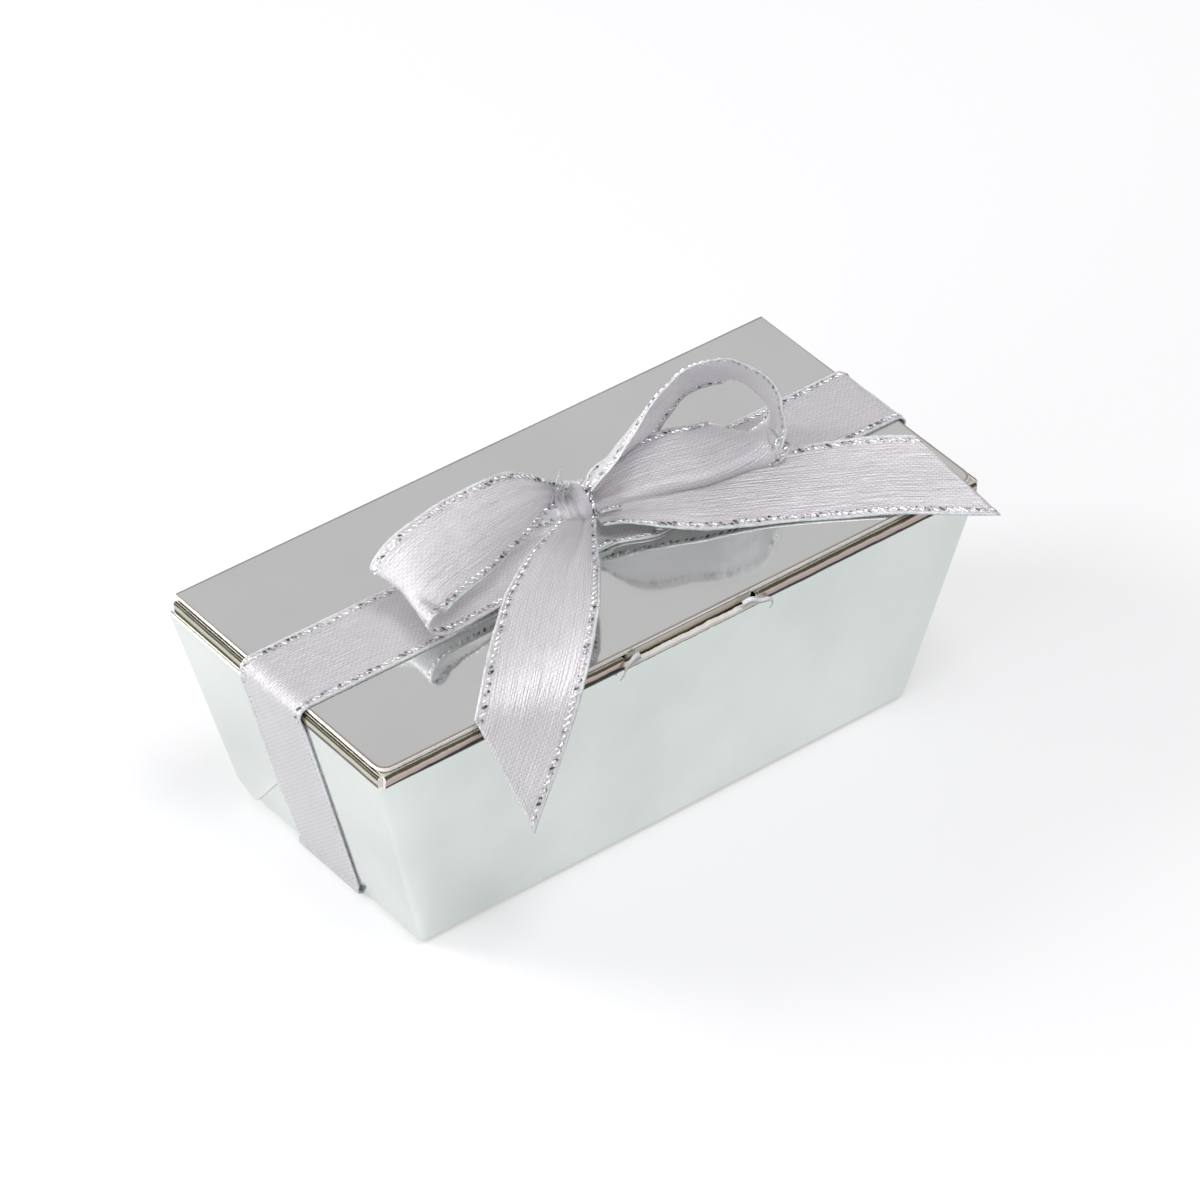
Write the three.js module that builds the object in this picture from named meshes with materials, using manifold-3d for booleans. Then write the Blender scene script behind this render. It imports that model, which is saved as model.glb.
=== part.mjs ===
// A tapered, mirror-finished board box for two chocolates, tied lengthwise with a satin ribbon and a bow.
// Millimetres, +Z up. The origin is on the underside of the ribbon, at the middle of the box's base.
// The long front side faces -Y. The lid folds along the top edge of the back wall.
import * as THREE from "three";
import Module from "manifold-3d";
import { mergeVertices } from "three/addons/utils/BufferGeometryUtils.js";

const wasm = await Module();
wasm.setup();

// The box, measured over the outside of the board
const topLength = 76;
const topWidth = 34.8;
const baseLength = 63;
const baseWidth = 29.7;
const boxHeight = 27.6; // from the surface that it stands on to the top of the lid
const board = 0.45;
const foldGap = 0.1; // between two panels that share a crease, or lie on each other
const cornerGap = 0.12; // at the mitre of two walls

// The lid and the flaps under it
const lidEndInset = 0.4;
const lidFrontInset = 0.4;
const lidCornerRadius = 1.2;
const rimHeight = 1.9; // from the crease round the walls to the top of the lid
const frontFlapDepth = 12;
const frontFlapEndInset = 0.5;
const frontFlapTaper = 0.15; // how far each side draws in for each millimetre of depth
const dustFlapDepth = 15;
const dustFlapSideInset = 2.5;
const dustFlapTaper = 0.5;

// The slit lock in the front crease
const slitMiddle = 0.4;
const slitWidth = 17;
const slitNotchDepth = 1.7; // how far the front flap is cut back behind the slit
const slitEdgeDrop = 0.75; // from the top of the front rim to the wall's cut edge
const tabWidth = 15.6;
const tabTipWidth = 13.2;
const tabDepth = 5.5;
const tabLean = THREE.MathUtils.degToRad(15);
const tabSetback = 0.15; // from the inner face of the front rim to the tab

// Glue flaps
const sideFlapTopDrop = 2.8; // from the rim's top to the top edge of a glue flap outside an end wall
const sideFlapDepth = 16.6; // from the back corner towards the front, hidden under the ribbon
const sideFlapCutSlope = 1.2; // rise of its diagonal lower edge for each millimetre towards the front
const sideFlapHeelRise = 2; // of the short cut at the back corner
const sideFlapHeelRun = 2.2;
const baseFlapDepth = 8;
const baseFlapGap = 0.3; // at the mitres of the flaps on the base

// The ribbon and the bow
const ribbonWidth = 10;
const ribbonThickness = 0.3;
const snug = 0.1; // between the ribbon and the board under it
const knotLength = 6;
const knotWidth = 8;
const knotHeight = 6;
const knotMiddle = 0.4;
const knotGap = 0.3; // from the knot to each piece of ribbon that comes out of it
const leftLoopReach = 22;
const leftLoopHeight = 6.8;
const rightLoopReach = 23.4;
const rightLoopHeight = 11;
const rightLoopLean = 3; // how far its upper arm lies behind the knot's middle
const frontTailReach = 25.8; // from the knot to the middle of the tail's cut end, towards the left
const frontTailStandoff = 3.2; // from the rim of the front wall to the middle of the cut end
const frontTailRise = 4.6; // how high the tail arches over the lid
const frontTailDrop = 4.6; // from the lid down to the middle of the cut end
const rightTailReach = 34.4;
const rightTailForward = 17.5;
const rightTailRise = 1.9;
const tailSlant = 4.5; // how far each corner of a tail's slanting end lies before or behind its middle

// The chocolates in their fluted paper cups
const cupBaseRadius = 11;
const cupTopRadius = 13.9;
const cupHeight = 12;
const cupPaper = 0.3;
const cupFlutes = 24;
const fluteDepth = 0.35;
const pralineGap = 0.3;
const pralineRadius = 11.4;
const pralineHeight = 18.5;
const cupSpacing = 30.4;

const mirrorBoard = new THREE.MeshStandardMaterial({ color: 0xc6cac7, roughness: 0.14, metalness: 0.9 });
const innerBoard = new THREE.MeshStandardMaterial({ color: 0xe9e8e3, roughness: 0.8, metalness: 0 });
const satin = new THREE.MeshStandardMaterial({ color: 0xcdc6d2, roughness: 0.4, metalness: 0 });
const cupStock = new THREE.MeshStandardMaterial({ color: 0x5b3a26, roughness: 0.75, metalness: 0 });
const chocolate = new THREE.MeshStandardMaterial({ color: 0x3a2015, roughness: 0.45, metalness: 0 });

// Heights that follow from the sizes
const floorZ = ribbonThickness + snug;
const lidZ = boxHeight - board;
const frontFlapZ = lidZ - foldGap - board;
const dustFlapZ = frontFlapZ - foldGap - board;
const creaseZ = boxHeight - rimHeight;
const lidTop = boxHeight;
const strapZ = lidTop + snug;

const box = new THREE.Group();
const tray = new THREE.Group();
const closure = new THREE.Group();
const ribbon = new THREE.Group();
const contents = new THREE.Group();
box.add(tray, closure, ribbon, contents);

function addPiece(parent, name, geometry, material) {
  const mesh = new THREE.Mesh(geometry, material);
  mesh.name = name;
  parent.add(mesh);
  return mesh;
}

// A closed skin over rings of points, with a fan over the first ring and the last
function loft(rings) {
  const count = rings[0].length;
  const points = rings.flat();
  const middleOf = (ring) => ring.reduce((sum, p) => sum.add(p), new THREE.Vector3()).divideScalar(ring.length);
  const firstMiddle = points.push(middleOf(rings[0])) - 1;
  const lastMiddle = points.push(middleOf(rings[rings.length - 1])) - 1;
  const faces = [];
  for (let i = 0; i < count; i++) {
    const next = (i + 1) % count;
    for (let r = 0; r + 1 < rings.length; r++) {
      const a = r * count;
      const b = a + count;
      faces.push([a + i, a + next, b + next], [a + i, b + next, b + i]);
    }
    const last = (rings.length - 1) * count;
    faces.push([firstMiddle, next, i], [lastMiddle, last + i, last + next]);
  }
  const volume = faces.reduce((sum, [a, b, c]) => {
    return sum + points[a].dot(new THREE.Vector3().crossVectors(points[b], points[c]));
  }, 0);
  if (volume < 0) {
    faces.forEach((face) => face.reverse());
  }
  const geometry = new THREE.BufferGeometry();
  geometry.setAttribute("position", new THREE.Float32BufferAttribute(points.flatMap((p) => p.toArray()), 3));
  geometry.setIndex(faces.flat());
  return geometry;
}

function asManifold(geometry) {
  const bare = geometry.clone();
  bare.deleteAttribute("normal");
  bare.deleteAttribute("uv");
  const merged = mergeVertices(bare, 1e-4);
  const vertProperties = Float32Array.from(merged.attributes.position.array);
  const triVerts = Uint32Array.from(merged.index.array);
  return new wasm.Manifold(new wasm.Mesh({ numProp: 3, vertProperties, triVerts }));
}

function cut(geometry, cutter) {
  const mesh = asManifold(geometry).subtract(asManifold(cutter)).getMesh();
  const result = new THREE.BufferGeometry();
  result.setAttribute("position", new THREE.Float32BufferAttribute(Array.from(mesh.vertProperties), 3));
  result.setIndex(Array.from(mesh.triVerts));
  return result;
}

// A flat sheet of board, from its outline in plan
function sheet(outline, thickness = board) {
  const shape = new THREE.Shape(outline.map(([x, y]) => new THREE.Vector2(x, y)));
  return new THREE.ExtrudeGeometry(shape, { depth: thickness, bevelEnabled: false });
}

// How far the outer faces of the walls stand from the middle at a height: tapered, and upright above the crease
function outward(base, top, z) {
  const rise = THREE.MathUtils.clamp((z - floorZ) / (creaseZ - floorZ), 0, 1);
  return THREE.MathUtils.lerp(base / 2, top / 2, rise);
}
const endFaceX = (z) => outward(baseLength, topLength, z);
const sideFaceY = (z) => outward(baseWidth, topWidth, z);

// The tray: four walls with an upright rim above their crease
function longWall(side, rimTop) {
  return loft([floorZ, creaseZ, rimTop].map((z) => {
    const outerX = endFaceX(z) - cornerGap / 2;
    const innerX = outerX - board;
    const outerY = side * sideFaceY(z);
    const innerY = side * (sideFaceY(z) - board);
    return [[-outerX, outerY], [outerX, outerY], [innerX, innerY], [-innerX, innerY]]
      .map(([x, y]) => new THREE.Vector3(x, y, z));
  }));
}

function endWall(side, rimTop) {
  return loft([floorZ, creaseZ, rimTop].map((z) => {
    const outerY = sideFaceY(z) - cornerGap / 2;
    const innerY = outerY - board;
    const outerX = side * endFaceX(z);
    const innerX = side * (endFaceX(z) - board);
    return [[outerX, -outerY], [outerX, outerY], [innerX, innerY], [innerX, -innerY]]
      .map(([x, y]) => new THREE.Vector3(x, y, z));
  }));
}

const frontRimTop = frontFlapZ - foldGap;
const slitCutter = new THREE.BoxGeometry(slitWidth, 4 * board, 2 * slitEdgeDrop);
slitCutter.translate(slitMiddle, -topWidth / 2, frontRimTop);
addPiece(tray, "front_wall", cut(longWall(-1, frontRimTop), slitCutter), mirrorBoard);
addPiece(tray, "back_wall", longWall(1, lidZ - foldGap), mirrorBoard);
for (const [name, side] of [["left", -1], ["right", 1]]) {
  addPiece(tray, `${name}_end_wall`, endWall(side, dustFlapZ - foldGap), mirrorBoard);
}

// The glue flaps of the back wall, outside the end walls
function sideGlueFlap(side) {
  const top = creaseZ + rimHeight - sideFlapTopDrop - board;
  const backAt = (z) => sideFaceY(z) - cornerGap / 2;
  const heelY = backAt(floorZ) - sideFlapHeelRun;
  const frontY = topWidth / 2 - sideFlapDepth;
  const outline = [
    [backAt(top), top],
    [backAt(floorZ + sideFlapHeelRise), floorZ + sideFlapHeelRise],
    [heelY, floorZ + foldGap],
    [frontY, floorZ + foldGap + (heelY - frontY) * sideFlapCutSlope],
    [frontY, top],
  ];
  const layer = (offset) => outline.map(([y, z]) => new THREE.Vector3(side * (endFaceX(z) + offset), y, z));
  return loft([layer(foldGap), layer(foldGap + board)]);
}
for (const [name, side] of [["left", -1], ["right", 1]]) {
  addPiece(tray, `${name}_glue_flap`, sideGlueFlap(side), mirrorBoard);
}

// The base, between the feet of the walls, and the glue flaps folded in over it
const baseHalfLength = baseLength / 2 - board - foldGap;
const baseHalfWidth = baseWidth / 2 - board - foldGap;
const baseSheet = new THREE.BoxGeometry(2 * baseHalfLength, 2 * baseHalfWidth, board);
const basePanel = addPiece(tray, "base_panel", baseSheet, innerBoard);
basePanel.position.z = floorZ + board / 2;
const baseFlapZ = floorZ + board + foldGap;

const backBaseFlap = sheet([
  [-baseHalfLength + baseFlapGap, baseHalfWidth],
  [-baseHalfLength + baseFlapDepth, baseHalfWidth - baseFlapDepth],
  [baseHalfLength - baseFlapDepth, baseHalfWidth - baseFlapDepth],
  [baseHalfLength - baseFlapGap, baseHalfWidth],
]);
addPiece(tray, "back_base_flap", backBaseFlap, innerBoard).position.z = baseFlapZ;
for (const [name, side] of [["left", -1], ["right", 1]]) {
  const endBaseFlap = sheet([
    [side * baseHalfLength, baseHalfWidth - 2 * baseFlapGap],
    [side * (baseHalfLength - baseFlapDepth), baseHalfWidth - baseFlapDepth - 2 * baseFlapGap],
    [side * (baseHalfLength - baseFlapDepth), -baseHalfWidth + baseFlapDepth],
    [side * baseHalfLength, -baseHalfWidth + baseFlapGap],
  ]);
  addPiece(tray, `${name}_base_flap`, endBaseFlap, innerBoard).position.z = baseFlapZ;
}

// The flaps and the lid, from the lowest layer up
for (const [name, side] of [["left", -1], ["right", 1]]) {
  const rootHalf = topWidth / 2 - dustFlapSideInset;
  const tipHalf = rootHalf - dustFlapDepth * dustFlapTaper;
  const dustFlap = sheet([
    [side * topLength / 2, -rootHalf],
    [side * topLength / 2, rootHalf],
    [side * (topLength / 2 - dustFlapDepth), tipHalf],
    [side * (topLength / 2 - dustFlapDepth), -tipHalf],
  ]);
  addPiece(closure, `${name}_dust_flap`, dustFlap, mirrorBoard).position.z = dustFlapZ;
}

const frontFlapHalf = topLength / 2 - frontFlapEndInset;
const frontFlapTipHalf = frontFlapHalf - frontFlapDepth * frontFlapTaper;
const frontEdgeY = -topWidth / 2;
const frontFlap = sheet([
  [-frontFlapHalf, frontEdgeY],
  [slitMiddle - slitWidth / 2, frontEdgeY],
  [slitMiddle - slitWidth / 2, frontEdgeY + slitNotchDepth],
  [slitMiddle + slitWidth / 2, frontEdgeY + slitNotchDepth],
  [slitMiddle + slitWidth / 2, frontEdgeY],
  [frontFlapHalf, frontEdgeY],
  [frontFlapTipHalf, frontEdgeY + frontFlapDepth],
  [-frontFlapTipHalf, frontEdgeY + frontFlapDepth],
]);
addPiece(closure, "front_flap", frontFlap, mirrorBoard).position.z = frontFlapZ;

function lidShape() {
  const x = topLength / 2 - lidEndInset;
  const y = frontEdgeY + lidFrontInset;
  const r = lidCornerRadius;
  const shape = new THREE.Shape();
  shape.moveTo(-x, topWidth / 2);
  shape.lineTo(-x, y + r);
  shape.absarc(-x + r, y + r, r, Math.PI, 1.5 * Math.PI, false);
  shape.absarc(x - r, y + r, r, 1.5 * Math.PI, 2 * Math.PI, false);
  shape.lineTo(x, topWidth / 2);
  return shape;
}
const lid = new THREE.ExtrudeGeometry(lidShape(), { depth: board, bevelEnabled: false, curveSegments: 5 });
addPiece(closure, "lid_panel", lid, mirrorBoard).position.z = lidZ;

// The tab that the lid's front edge folds into, leaning in through the slit behind the front wall
const tabTopY = frontEdgeY + board + tabSetback;
const tabTopZ = lidZ - foldGap;
function tuckTab() {
  const down = new THREE.Vector3(0, Math.sin(tabLean), -Math.cos(tabLean));
  const inward = new THREE.Vector3(0, Math.cos(tabLean), Math.sin(tabLean));
  const top = new THREE.Vector3(slitMiddle, tabTopY, tabTopZ);
  const rightHalf = [[tabWidth, 0], [tabWidth, 0.6], [tabTipWidth, 1]];
  const outline = [...rightHalf, ...rightHalf.toReversed().map(([width, share]) => [-width, share])];
  const level = board * Math.tan(tabLean); // keeps the slanted tab's inner top edge under the lid
  const layer = (depth, drop) => outline.map(([width, share]) => top.clone()
    .add(new THREE.Vector3(width / 2, 0, 0))
    .addScaledVector(down, share === 0 ? drop : share * tabDepth)
    .addScaledVector(inward, depth));
  return loft([layer(0, 0), layer(board, level)]);
}
addPiece(closure, "lid_tuck_tab", tuckTab(), mirrorBoard);

// The ribbon's runs round the box, each one a thin band along X
function band(path, name) {
  const rings = path.map(([inner, outer]) => [inner, outer].flatMap(([x, z], face) => {
    const ends = face === 0 ? [-1, 1] : [1, -1];
    return ends.map((end) => new THREE.Vector3(x, end * ribbonWidth / 2, z));
  }));
  addPiece(ribbon, name, loft(rings), satin);
}

const legClearance = foldGap + board + snug; // the ribbon lies over the glue flap
const legFootX = endFaceX(floorZ) + legClearance;
const legKneeZ = creaseZ + rimHeight - sideFlapTopDrop;
const legTopX = topLength / 2 + snug;
const baseRunEnds = [-legFootX - ribbonThickness, legFootX + ribbonThickness];
band(baseRunEnds.map((x) => [[x, 0], [x, ribbonThickness]]), "ribbon_base_run");
for (const [name, side] of [["left", -1], ["right", 1]]) {
  const leg = [[legFootX, ribbonThickness + foldGap], [endFaceX(legKneeZ) + legClearance, legKneeZ],
    [Math.max(legTopX, endFaceX(legKneeZ) + legClearance), creaseZ], [legTopX + foldGap, strapZ - foldGap]];
  band(leg.map(([x, z]) => [[side * x, z], [side * (x + ribbonThickness), z]]), `ribbon_${name}_run`);
  const knotSide = side * knotMiddle + knotLength / 2 + knotGap;
  const strap = [legTopX + foldGap + ribbonThickness, knotSide];
  band(strap.map((x) => [[side * x, strapZ], [side * x, strapZ + ribbonThickness]]), `ribbon_top_${name}_run`);
}

// The knot: a rounded bundle that is drawn in where the ribbon wraps it
const knot = new THREE.SphereGeometry(0.5, 20, 12);
knot.rotateX(Math.PI / 2);
const knotPoints = knot.attributes.position;
for (let i = 0; i < knotPoints.count; i++) {
  const p = new THREE.Vector3().fromBufferAttribute(knotPoints, i);
  const fullness = 1.12 - 0.5 * p.x * p.x;
  knotPoints.setXYZ(i, p.x * knotLength, p.y * knotWidth * fullness, p.z * knotHeight);
}
addPiece(ribbon, "bow_knot", knot, satin).position.set(knotMiddle, 0, lidTop + snug + knotHeight / 2);

// A free length of ribbon. Each station has its place from the knot on the lid, the direction from the
// back edge to the front edge, how far the two edges stand from the middle line, and the slant of its end.
function looseRibbon(name, stations, steps) {
  const through = (places) => {
    return new THREE.CatmullRomCurve3(places.map((p) => new THREE.Vector3(...p)), false, "centripetal");
  };
  const route = through(stations.map((s) => s.at));
  const turns = through(stations.map((s) => s.across));
  const rings = [];
  for (let i = 0; i <= steps; i++) {
    const t = i / steps;
    const first = Math.min(Math.floor(t * (stations.length - 1)), stations.length - 2);
    const part = t * (stations.length - 1) - first;
    const [from, to] = [stations[first], stations[first + 1]];
    const reach = THREE.MathUtils.lerp(from.reach, to.reach, part);
    const slant = THREE.MathUtils.lerp(from.slant ?? 0, to.slant ?? 0, part);
    const along = route.getTangent(t);
    const across = turns.getPoint(t).addScaledVector(along, -turns.getPoint(t).dot(along)).normalize();
    const normal = new THREE.Vector3().crossVectors(along, across).multiplyScalar(ribbonThickness / 2);
    const middle = route.getPoint(t).add(new THREE.Vector3(knotMiddle, 0, lidTop));
    const back = middle.clone().addScaledVector(across, -reach).addScaledVector(along, -slant);
    const front = middle.clone().addScaledVector(across, reach).addScaledVector(along, slant);
    const upper = [back.clone().add(normal), front.clone().add(normal)];
    rings.push([...upper, front.clone().sub(normal), back.clone().sub(normal)]);
  }
  addPiece(ribbon, name, loft(rings), satin);
}

const half = ribbonWidth / 2;
const pinched = half * 0.5;
const knotExit = knotLength / 2 + knotGap;

// Each free length has its places as shares of its own sizes, apart from where it leaves the knot
const share = (...sizes) => (...shares) => shares.map((part, i) => part * sizes[i]);

const leftLoop = share(-leftLoopReach, 1, leftLoopHeight);
looseRibbon("bow_left_loop", [
  { at: [-knotExit, 1, knotHeight * 0.8], across: [0, -0.8, -0.6], reach: pinched * 0.7 },
  { at: leftLoop(0.36, 0.5, 1), across: [0, -0.76, -0.65], reach: half * 0.75 },
  { at: leftLoop(0.66, 0, 1), across: [0, -0.72, -0.69], reach: half },
  { at: leftLoop(0.93, 0, 0.74), across: [0, -0.85, -0.52], reach: half },
  { at: leftLoop(1, 0, 0.48), across: [0, -0.9, -0.4], reach: half },
  { at: leftLoop(0.94, 0, 0.26), across: [0, -0.97, -0.22], reach: half },
  { at: leftLoop(0.66, 0, 0.22), across: [0, -1, -0.06], reach: half },
  { at: leftLoop(0.36, 0, 0.19), across: [0, -1, 0], reach: half * 0.9 },
  { at: [-knotExit, 0, knotHeight * 0.25], across: [0, -1, 0], reach: pinched },
], 32);

const rightLoop = share(rightLoopReach, rightLoopLean, rightLoopHeight);
looseRibbon("bow_right_loop", [
  { at: [knotExit, 0.2, knotHeight * 0.57], across: [-0.1, -0.97, -0.2], reach: pinched },
  { at: rightLoop(0.36, 0, 0.34), across: [-0.05, -0.99, -0.06], reach: half * 0.85 },
  { at: rightLoop(0.59, -0.13, 0.31), across: [-0.03, -0.98, 0.14], reach: half },
  { at: rightLoop(0.8, -0.33, 0.27), across: [-0.06, -0.96, 0.28], reach: half },
  { at: rightLoop(0.92, -0.33, 0.31), across: [-0.22, -0.87, 0.42], reach: half },
  { at: rightLoop(1, -0.03, 0.48), across: [-0.38, -0.68, 0.62], reach: half },
  { at: rightLoop(0.98, 0.53, 0.68), across: [-0.24, -0.72, 0.64], reach: half },
  { at: rightLoop(0.85, 0.93, 0.87), across: [0, -0.72, 0.69], reach: half },
  { at: rightLoop(0.66, 1, 0.98), across: [0.08, -0.6, 0.8], reach: half },
  { at: rightLoop(0.46, 0.8, 1), across: [0, -0.55, 0.83], reach: half },
  { at: rightLoop(0.3, 0.47, 0.85), across: [-0.3, -0.52, 0.8], reach: half * 0.9 },
  { at: rightLoop(0.2, 0.35, 0.64), across: [-0.5, -0.6, 0.62], reach: half * 0.65 },
  { at: [knotExit, 1.1, knotHeight * 0.81], across: [-0.45, -0.8, 0.2], reach: pinched * 0.9 },
], 48);

const hangY = -topWidth / 2 - frontTailStandoff;
const frontTail = share(-frontTailReach, hangY, frontTailRise);
looseRibbon("bow_front_tail", [
  { at: [-knotExit - knotGap, -knotWidth * 0.32, knotHeight * 0.47], across: [0.85, -0.45, -0.2], reach: pinched * 0.9 },
  { at: frontTail(0.31, 0.32, 0.93), across: [0.8, -0.58, -0.1], reach: half * 0.78 },
  { at: frontTail(0.48, 0.51, 0.96), across: [0.8, -0.58, 0], reach: half },
  { at: frontTail(0.67, 0.73, 0.7), across: [0.82, -0.52, -0.12], reach: half },
  { at: frontTail(0.81, 0.88, 0.26), across: [0.82, -0.46, -0.26], reach: half },
  { at: [-frontTailReach * 0.9, hangY * 0.95, -frontTailDrop * 0.26], across: [0.81, -0.43, -0.36], reach: half },
  { at: [-frontTailReach, hangY, -frontTailDrop], across: [0.81, -0.43, -0.39], reach: half, slant: tailSlant },
], 30);

const rightTail = share(rightTailReach, -rightTailForward, rightTailRise);
looseRibbon("bow_right_tail", [
  { at: [knotExit, -0.8, knotHeight * 0.22], across: [-0.3, -0.95, 0], reach: pinched * 0.85 },
  { at: rightTail(0.2, 0.08, 0.63), across: [-0.35, -0.93, 0], reach: half * 0.75 },
  { at: rightTail(0.33, 0.15, 0.63), across: [-0.42, -0.9, -0.04], reach: half },
  { at: rightTail(0.5, 0.3, 0.75), across: [-0.44, -0.89, -0.12], reach: half },
  { at: rightTail(0.7, 0.51, 0.92), across: [-0.46, -0.85, -0.25], reach: half },
  { at: rightTail(0.85, 0.7, 0.95), across: [-0.58, -0.77, -0.25], reach: half },
  { at: rightTail(1, 1, 1), across: [-0.66, -0.7, -0.25], reach: half, slant: tailSlant },
], 28);

// Two filled chocolates, each in a fluted paper cup
const cupZ = baseFlapZ + board + foldGap;
function cupRing(radius, z) {
  const ring = [];
  const steps = cupFlutes * 3;
  for (let i = 0; i < steps; i++) {
    const turn = (2 * Math.PI * i) / steps;
    const r = radius + fluteDepth * Math.cos(cupFlutes * turn);
    ring.push(new THREE.Vector3(r * Math.cos(turn), r * Math.sin(turn), z));
  }
  return ring;
}
const paperCup = loft([
  cupRing(cupBaseRadius, 0),
  cupRing(cupTopRadius, cupHeight),
  cupRing(cupTopRadius - cupPaper, cupHeight),
  cupRing(cupBaseRadius - cupPaper, cupPaper),
]);

const pralineFoot = Math.min(pralineRadius, cupBaseRadius - cupPaper - fluteDepth - pralineGap);
const pralineProfile = [
  [0, 0],
  [pralineFoot, 0],
  [pralineRadius, pralineHeight * 0.35],
  [pralineRadius * 0.97, pralineHeight * 0.6],
  [pralineRadius * 0.8, pralineHeight * 0.84],
  [pralineRadius * 0.45, pralineHeight * 0.97],
  [0, pralineHeight],
].map(([r, z]) => new THREE.Vector2(r, z));
const praline = new THREE.LatheGeometry(pralineProfile, 40);
praline.rotateX(Math.PI / 2);

for (const [name, side] of [["left", -1], ["right", 1]]) {
  const cup = addPiece(contents, `paper_cup_${name}`, paperCup, cupStock);
  cup.position.set(side * cupSpacing / 2, 0, cupZ);
  const sweet = addPiece(contents, `praline_${name}`, praline, chocolate);
  sweet.position.set(side * cupSpacing / 2, 0, cupZ + cupPaper + pralineGap);
}

export default box;
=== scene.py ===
"""A small mirror-board chocolate box, tied with a satin ribbon and a bow.

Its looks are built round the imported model, in millimetres."""
from math import acos, copysign, cos, pi, radians, sin, tan

import bmesh
import bpy
import numpy as np
from mathutils import Matrix, Vector, noise


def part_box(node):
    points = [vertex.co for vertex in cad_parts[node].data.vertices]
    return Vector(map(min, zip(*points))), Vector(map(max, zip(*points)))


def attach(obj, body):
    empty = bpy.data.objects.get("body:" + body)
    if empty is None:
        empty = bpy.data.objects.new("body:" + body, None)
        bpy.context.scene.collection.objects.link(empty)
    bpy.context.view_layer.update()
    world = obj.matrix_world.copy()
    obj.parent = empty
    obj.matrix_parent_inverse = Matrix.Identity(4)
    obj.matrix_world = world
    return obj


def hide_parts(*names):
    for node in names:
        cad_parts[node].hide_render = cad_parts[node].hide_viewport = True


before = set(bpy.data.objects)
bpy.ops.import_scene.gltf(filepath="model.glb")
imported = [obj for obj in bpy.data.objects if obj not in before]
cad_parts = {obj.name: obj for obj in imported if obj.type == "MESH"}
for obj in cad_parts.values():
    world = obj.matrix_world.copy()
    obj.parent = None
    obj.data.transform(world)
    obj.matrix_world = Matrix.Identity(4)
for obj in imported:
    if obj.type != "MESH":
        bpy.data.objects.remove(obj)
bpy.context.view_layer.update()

MM = 0.001  # Blender works in metres
TURN = 2 * pi


def corners(node):
    """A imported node's lowest and highest corner."""
    return [np.array(corner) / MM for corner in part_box(node)]


def clamp(value):
    """The value, kept between 0 and 1."""
    return min(max(value, 0), 1)


def ease(share):
    """A share from 0 to 1 that starts and ends gently."""
    return share * share * (3 - 2 * share)


def unit(vector):
    """The vector at length 1."""
    return vector / np.linalg.norm(vector)


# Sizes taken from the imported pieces
LID_LOW, LID_HIGH = corners("lid_panel")
BASE_LOW, BASE_HIGH = corners("base_panel")
TAB_LOW, TAB_HIGH = corners("lid_tuck_tab")
STRAP_LOW, STRAP_HIGH = corners("ribbon_top_left_run")
KNOT_MIDDLE = sum(corners("bow_knot")) / 2
BOARD = LID_HIGH[2] - LID_LOW[2]
FOLD_GAP = 0.1  # between panels, where the board is creased
LID_END_INSET = 0.4
LID_TOP = LID_HIGH[2]
TOP_HALF_LENGTH = LID_HIGH[0] + LID_END_INSET
TOP_HALF_WIDTH = LID_HIGH[1]
BASE_HALF_LENGTH = BASE_HIGH[0] + BOARD + FOLD_GAP
BASE_HALF_WIDTH = BASE_HIGH[1] + BOARD + FOLD_GAP
FOOT_Z = BASE_LOW[2]

# The folds of the walls
CORNER_RADIUS = 0.7  # of the four upright folds
FOOT_RADIUS = 0.45  # of the folds round the base
ARC_POINTS = 5  # on each half of an upright fold, and on the foot's fold
WALL_COLUMNS = 24
WALL_ROWS = 8
WALL_FACING = {"front": -90, "right": 0, "back": 90, "left": 180}  # degrees from +X

# The rim above the crease
RIM_HEIGHT = 1.9
CREASE_Z = LID_TOP - RIM_HEIGHT
CREASE_LAP = 0.02  # how far parts go past the crease
RIM_LEAN = 0.12  # how far it stands out past the crease
RIM_FOLD = 0.3  # radius of its fold into the flap
RIM_STEP = 0.8
RIM_WAVE = 0.05
SHADED_GAP_LEVEL = 0.4  # where the painted shade of the crease's gap ends on the rim film's ramp

# The slit lock
SLIT_MIDDLE = (TAB_LOW[0] + TAB_HIGH[0]) / 2
SLIT_HALF = 8.5
SLIT_LEFT = SLIT_MIDDLE - SLIT_HALF
SLIT_RIGHT = SLIT_MIDDLE + SLIT_HALF
SLIT_NOTCH = 1.7  # depth of its notch in the front flap
SLIT_EDGE_HEIGHT = 0.41  # of the raw edge above the crease
TAB_LEAN = radians(15)
TAB_OUT = 0.1  # how far its fold stands out past the lid
TAB_ROLL = 0.5  # radius of its fold
TAB_REACH = 5.3  # from its fold to its tip
TAB_TAPER = 1.1  # of each side at the tip
TAB_TAPER_FROM = 0.6
TAB_COLUMNS = 12

# The glue flaps
GLUE_FLAP_SLOPE = 1.2  # of the diagonal cut at its foot
GLUE_FLAP_HEEL = 2.2  # from the back wall to where that cut begins
GLUE_FLAP_BACK = 0.06  # from its back edge to the back wall's face
GLUE_FLAP_FRONT = corners("left_glue_flap")[0][1]

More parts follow.
